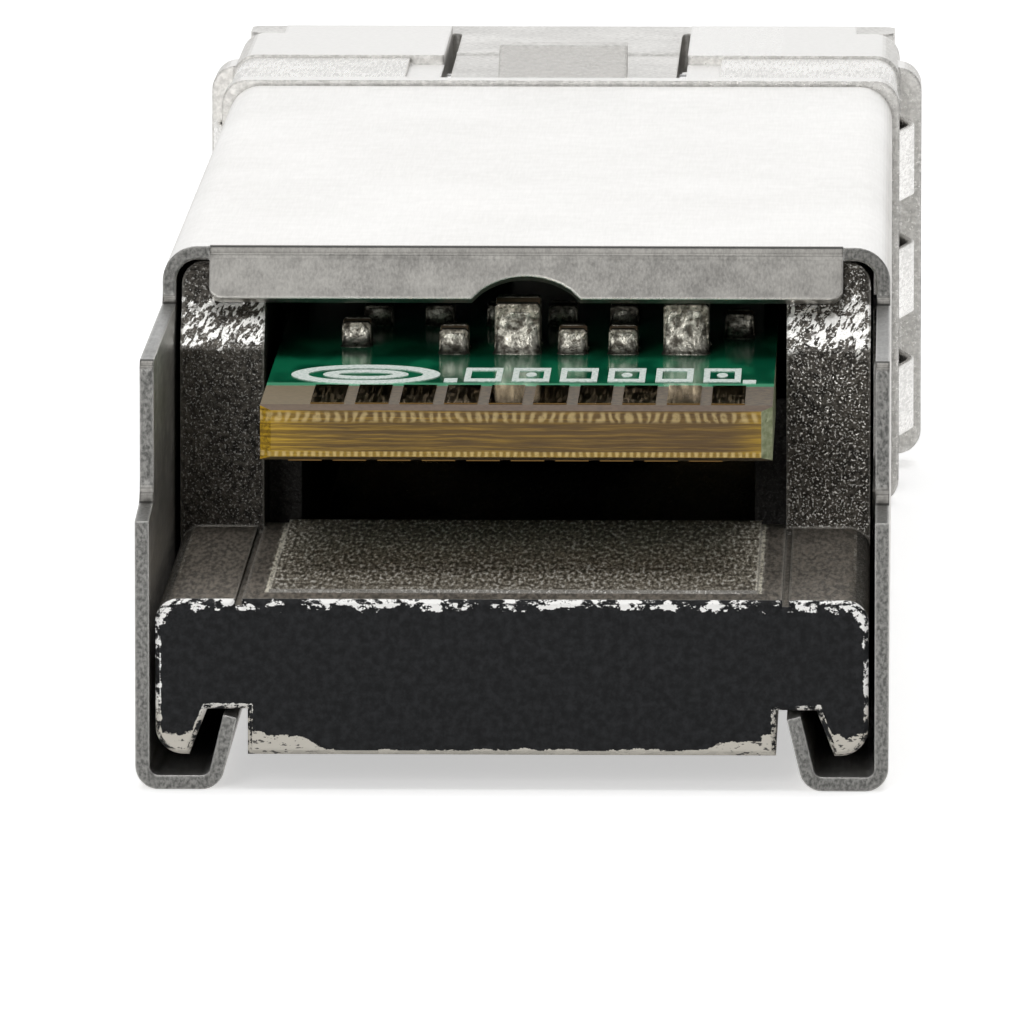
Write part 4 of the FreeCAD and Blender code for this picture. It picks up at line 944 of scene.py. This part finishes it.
def dress_board():
    new_piece("printed_marks", mesh_of("printed_marks", printed_marks), ink_white(), "module")
    solder = terminal_tin("solder", *SOLDER)
    groups = ("large_capacitor_terminals", "small_capacitor_terminals", "chip_resistor_terminals")
    for seed, node in enumerate(groups, start=4):
        name = node.replace("terminals", "solder")
        piece = new_piece(name, mesh_of(name, solder_group(node, seed)), solder, "module")
        smooth(piece)


def dress_nodes():
    by_slot = {
        "cover_steel": cover_steel(),
        "cast_zinc": cast_zinc(),
        "board_green": board_green(),
        "contact_gold": contact_gold(),
        "terminal_tin": terminal_tin("terminal_tin", *TIN),
        "capacitor_ceramic": ceramic("capacitor_ceramic", *CAPACITOR),
        "resistor_ceramic": ceramic("resistor_ceramic", *RESISTOR, 0.28),
        "chip_black": chip_black(),
        "thermal_gel": thermal_gel(),
        "can_metal": plated("can_metal", *CAN, 0.06 * MM, 0.18, 0.3, 0.002 * MM),
        "barrel_steel": plated("barrel_steel", *BARREL, 0.05 * MM, 0.2, 0.34, 0.003 * MM, (1, 0.5, 1)),
        "sleeve_zirconia": sleeve_zirconia(),
        "flex_polyimide": flex_polyimide(),
        "holder_plastic": holder_plastic(),
        "spring_steel": plated("spring_steel", *SPRING, 0.05 * MM, 0.22, 0.36, 0.002 * MM, (1, 14, 1)),
        "latch_zinc": plated("latch_zinc", *LATCH, 0.1 * MM, 0.3, 0.44, 0.008 * MM),
        "pin_steel": plated("pin_steel", *PIN, 0.04 * MM, 0.16, 0.28, 0.002 * MM, (12, 1, 1)),
    }
    for part in frame["record"]["subparts"]:
        for slot in nodes[part["node"]].material_slots:
            slot.material = by_slot[part["material_slot"]]


def press_spring():
    """Gives the leaf under the lever its own copy of its mesh."""
    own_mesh(nodes["latch_spring"])


# Studio

def seen_level(tree, strength):
    """A glow strength that only the view and reflections see."""
    paths = tree.nodes.new("ShaderNodeLightPath").outputs
    seen = paths["Is Camera Ray"]
    for ray in ("Is Glossy Ray", "Is Transmission Ray"):
        most = tree.nodes.new("ShaderNodeMath")
        most.operation = "MAXIMUM"
        tree.links.new(seen, most.inputs[0])
        tree.links.new(paths[ray], most.inputs[1])
        seen = most.outputs[0]
    level = tree.nodes.new("ShaderNodeMath")
    level.operation = "MULTIPLY"
    level.inputs[1].default_value = strength
    tree.links.new(seen, level.inputs[0])
    return level.outputs[0]


def studio_white(name, strength):
    """White paper: plain diffuse, with a glow added."""
    material = bpy.data.materials.new(name)
    material.use_nodes = True
    tree = material.node_tree
    tree.nodes.remove(tree.nodes["Principled BSDF"])
    glow = tree.nodes.new("ShaderNodeEmission")
    tree.links.new(seen_level(tree, strength), glow.inputs["Strength"])
    paper = tree.nodes.new("ShaderNodeBsdfDiffuse")
    paper.inputs["Color"].default_value = (PAPER_LEVEL, PAPER_LEVEL, PAPER_LEVEL, 1)
    both = tree.nodes.new("ShaderNodeAddShader")
    tree.links.new(paper.outputs[0], both.inputs[0])
    tree.links.new(glow.outputs[0], both.inputs[1])
    tree.links.new(both.outputs[0], tree.nodes["Material Output"].inputs["Surface"])
    return material


def studio_sheet(name, points, strength):
    """One flat sheet of the studio, floor or backdrop."""
    def build(made):
        made.faces.new([made.verts.new(point) for point in points])
    sheet = bpy.data.objects.new(name, mesh_of(name, build))
    bpy.context.scene.collection.objects.link(sheet)
    sheet.data.materials.append(studio_white(name, strength))


def studio():
    reach = FLOOR_REACH
    studio_sheet("floor", [(-reach, -reach, 0), (reach, -reach, 0), (reach, reach, 0), (-reach, reach, 0)],
                 FLOOR_GLOW)
    half, back, top = BACKDROP_HALF, BACKDROP_PLACE, BACKDROP_HEIGHT
    studio_sheet("backdrop", [(-half, back, 0), (half, back, 0), (half, back, top), (-half, back, top)],
                 BACKDROP_GLOW)


def soft_light(name, place, size, power, aim):
    lamp = bpy.data.lights.new(name, "AREA")
    lamp.shape = "SQUARE"
    lamp.size = size
    lamp.energy = power
    holder = bpy.data.objects.new(name, lamp)
    holder.location = place
    holder.rotation_euler = (aim - place).to_track_quat("-Z", "Y").to_euler()
    bpy.context.scene.collection.objects.link(holder)


def set_world():
    world = bpy.data.worlds.new("studio")
    world.use_nodes = True
    backing = world.node_tree.nodes["Background"]
    backing.inputs["Color"].default_value = (1, 1, 1, 1)
    backing.inputs["Strength"].default_value = WORLD_LEVEL
    bpy.context.scene.world = world


def set_camera():
    across, height = math.cos(VIEW_ELEVATION), math.sin(VIEW_ELEVATION)
    back = Vector((math.sin(VIEW_AZIMUTH) * across, -math.cos(VIEW_AZIMUTH) * across, height))
    camera = bpy.data.cameras.new("camera")
    camera.sensor_width = SENSOR
    camera.lens = LENS
    camera.clip_start = CLIP_START
    holder = bpy.data.objects.new("camera", camera)
    holder.location = VIEW_AIM + back * VIEW_DISTANCE
    holder.rotation_euler = (-back).to_track_quat("-Z", "Y").to_euler()
    bpy.context.scene.collection.objects.link(holder)
    bpy.context.scene.camera = holder


dress_nodes()
dress_board()
press_spring()
studio()
soft_light("key_light", KEY_PLACE, KEY_SIZE, KEY_POWER, VIEW_AIM)
soft_light("fill_light", FILL_PLACE, FILL_SIZE, FILL_POWER, VIEW_AIM)
set_world()
set_camera()
bpy.context.scene.view_settings.view_transform = "Standard"
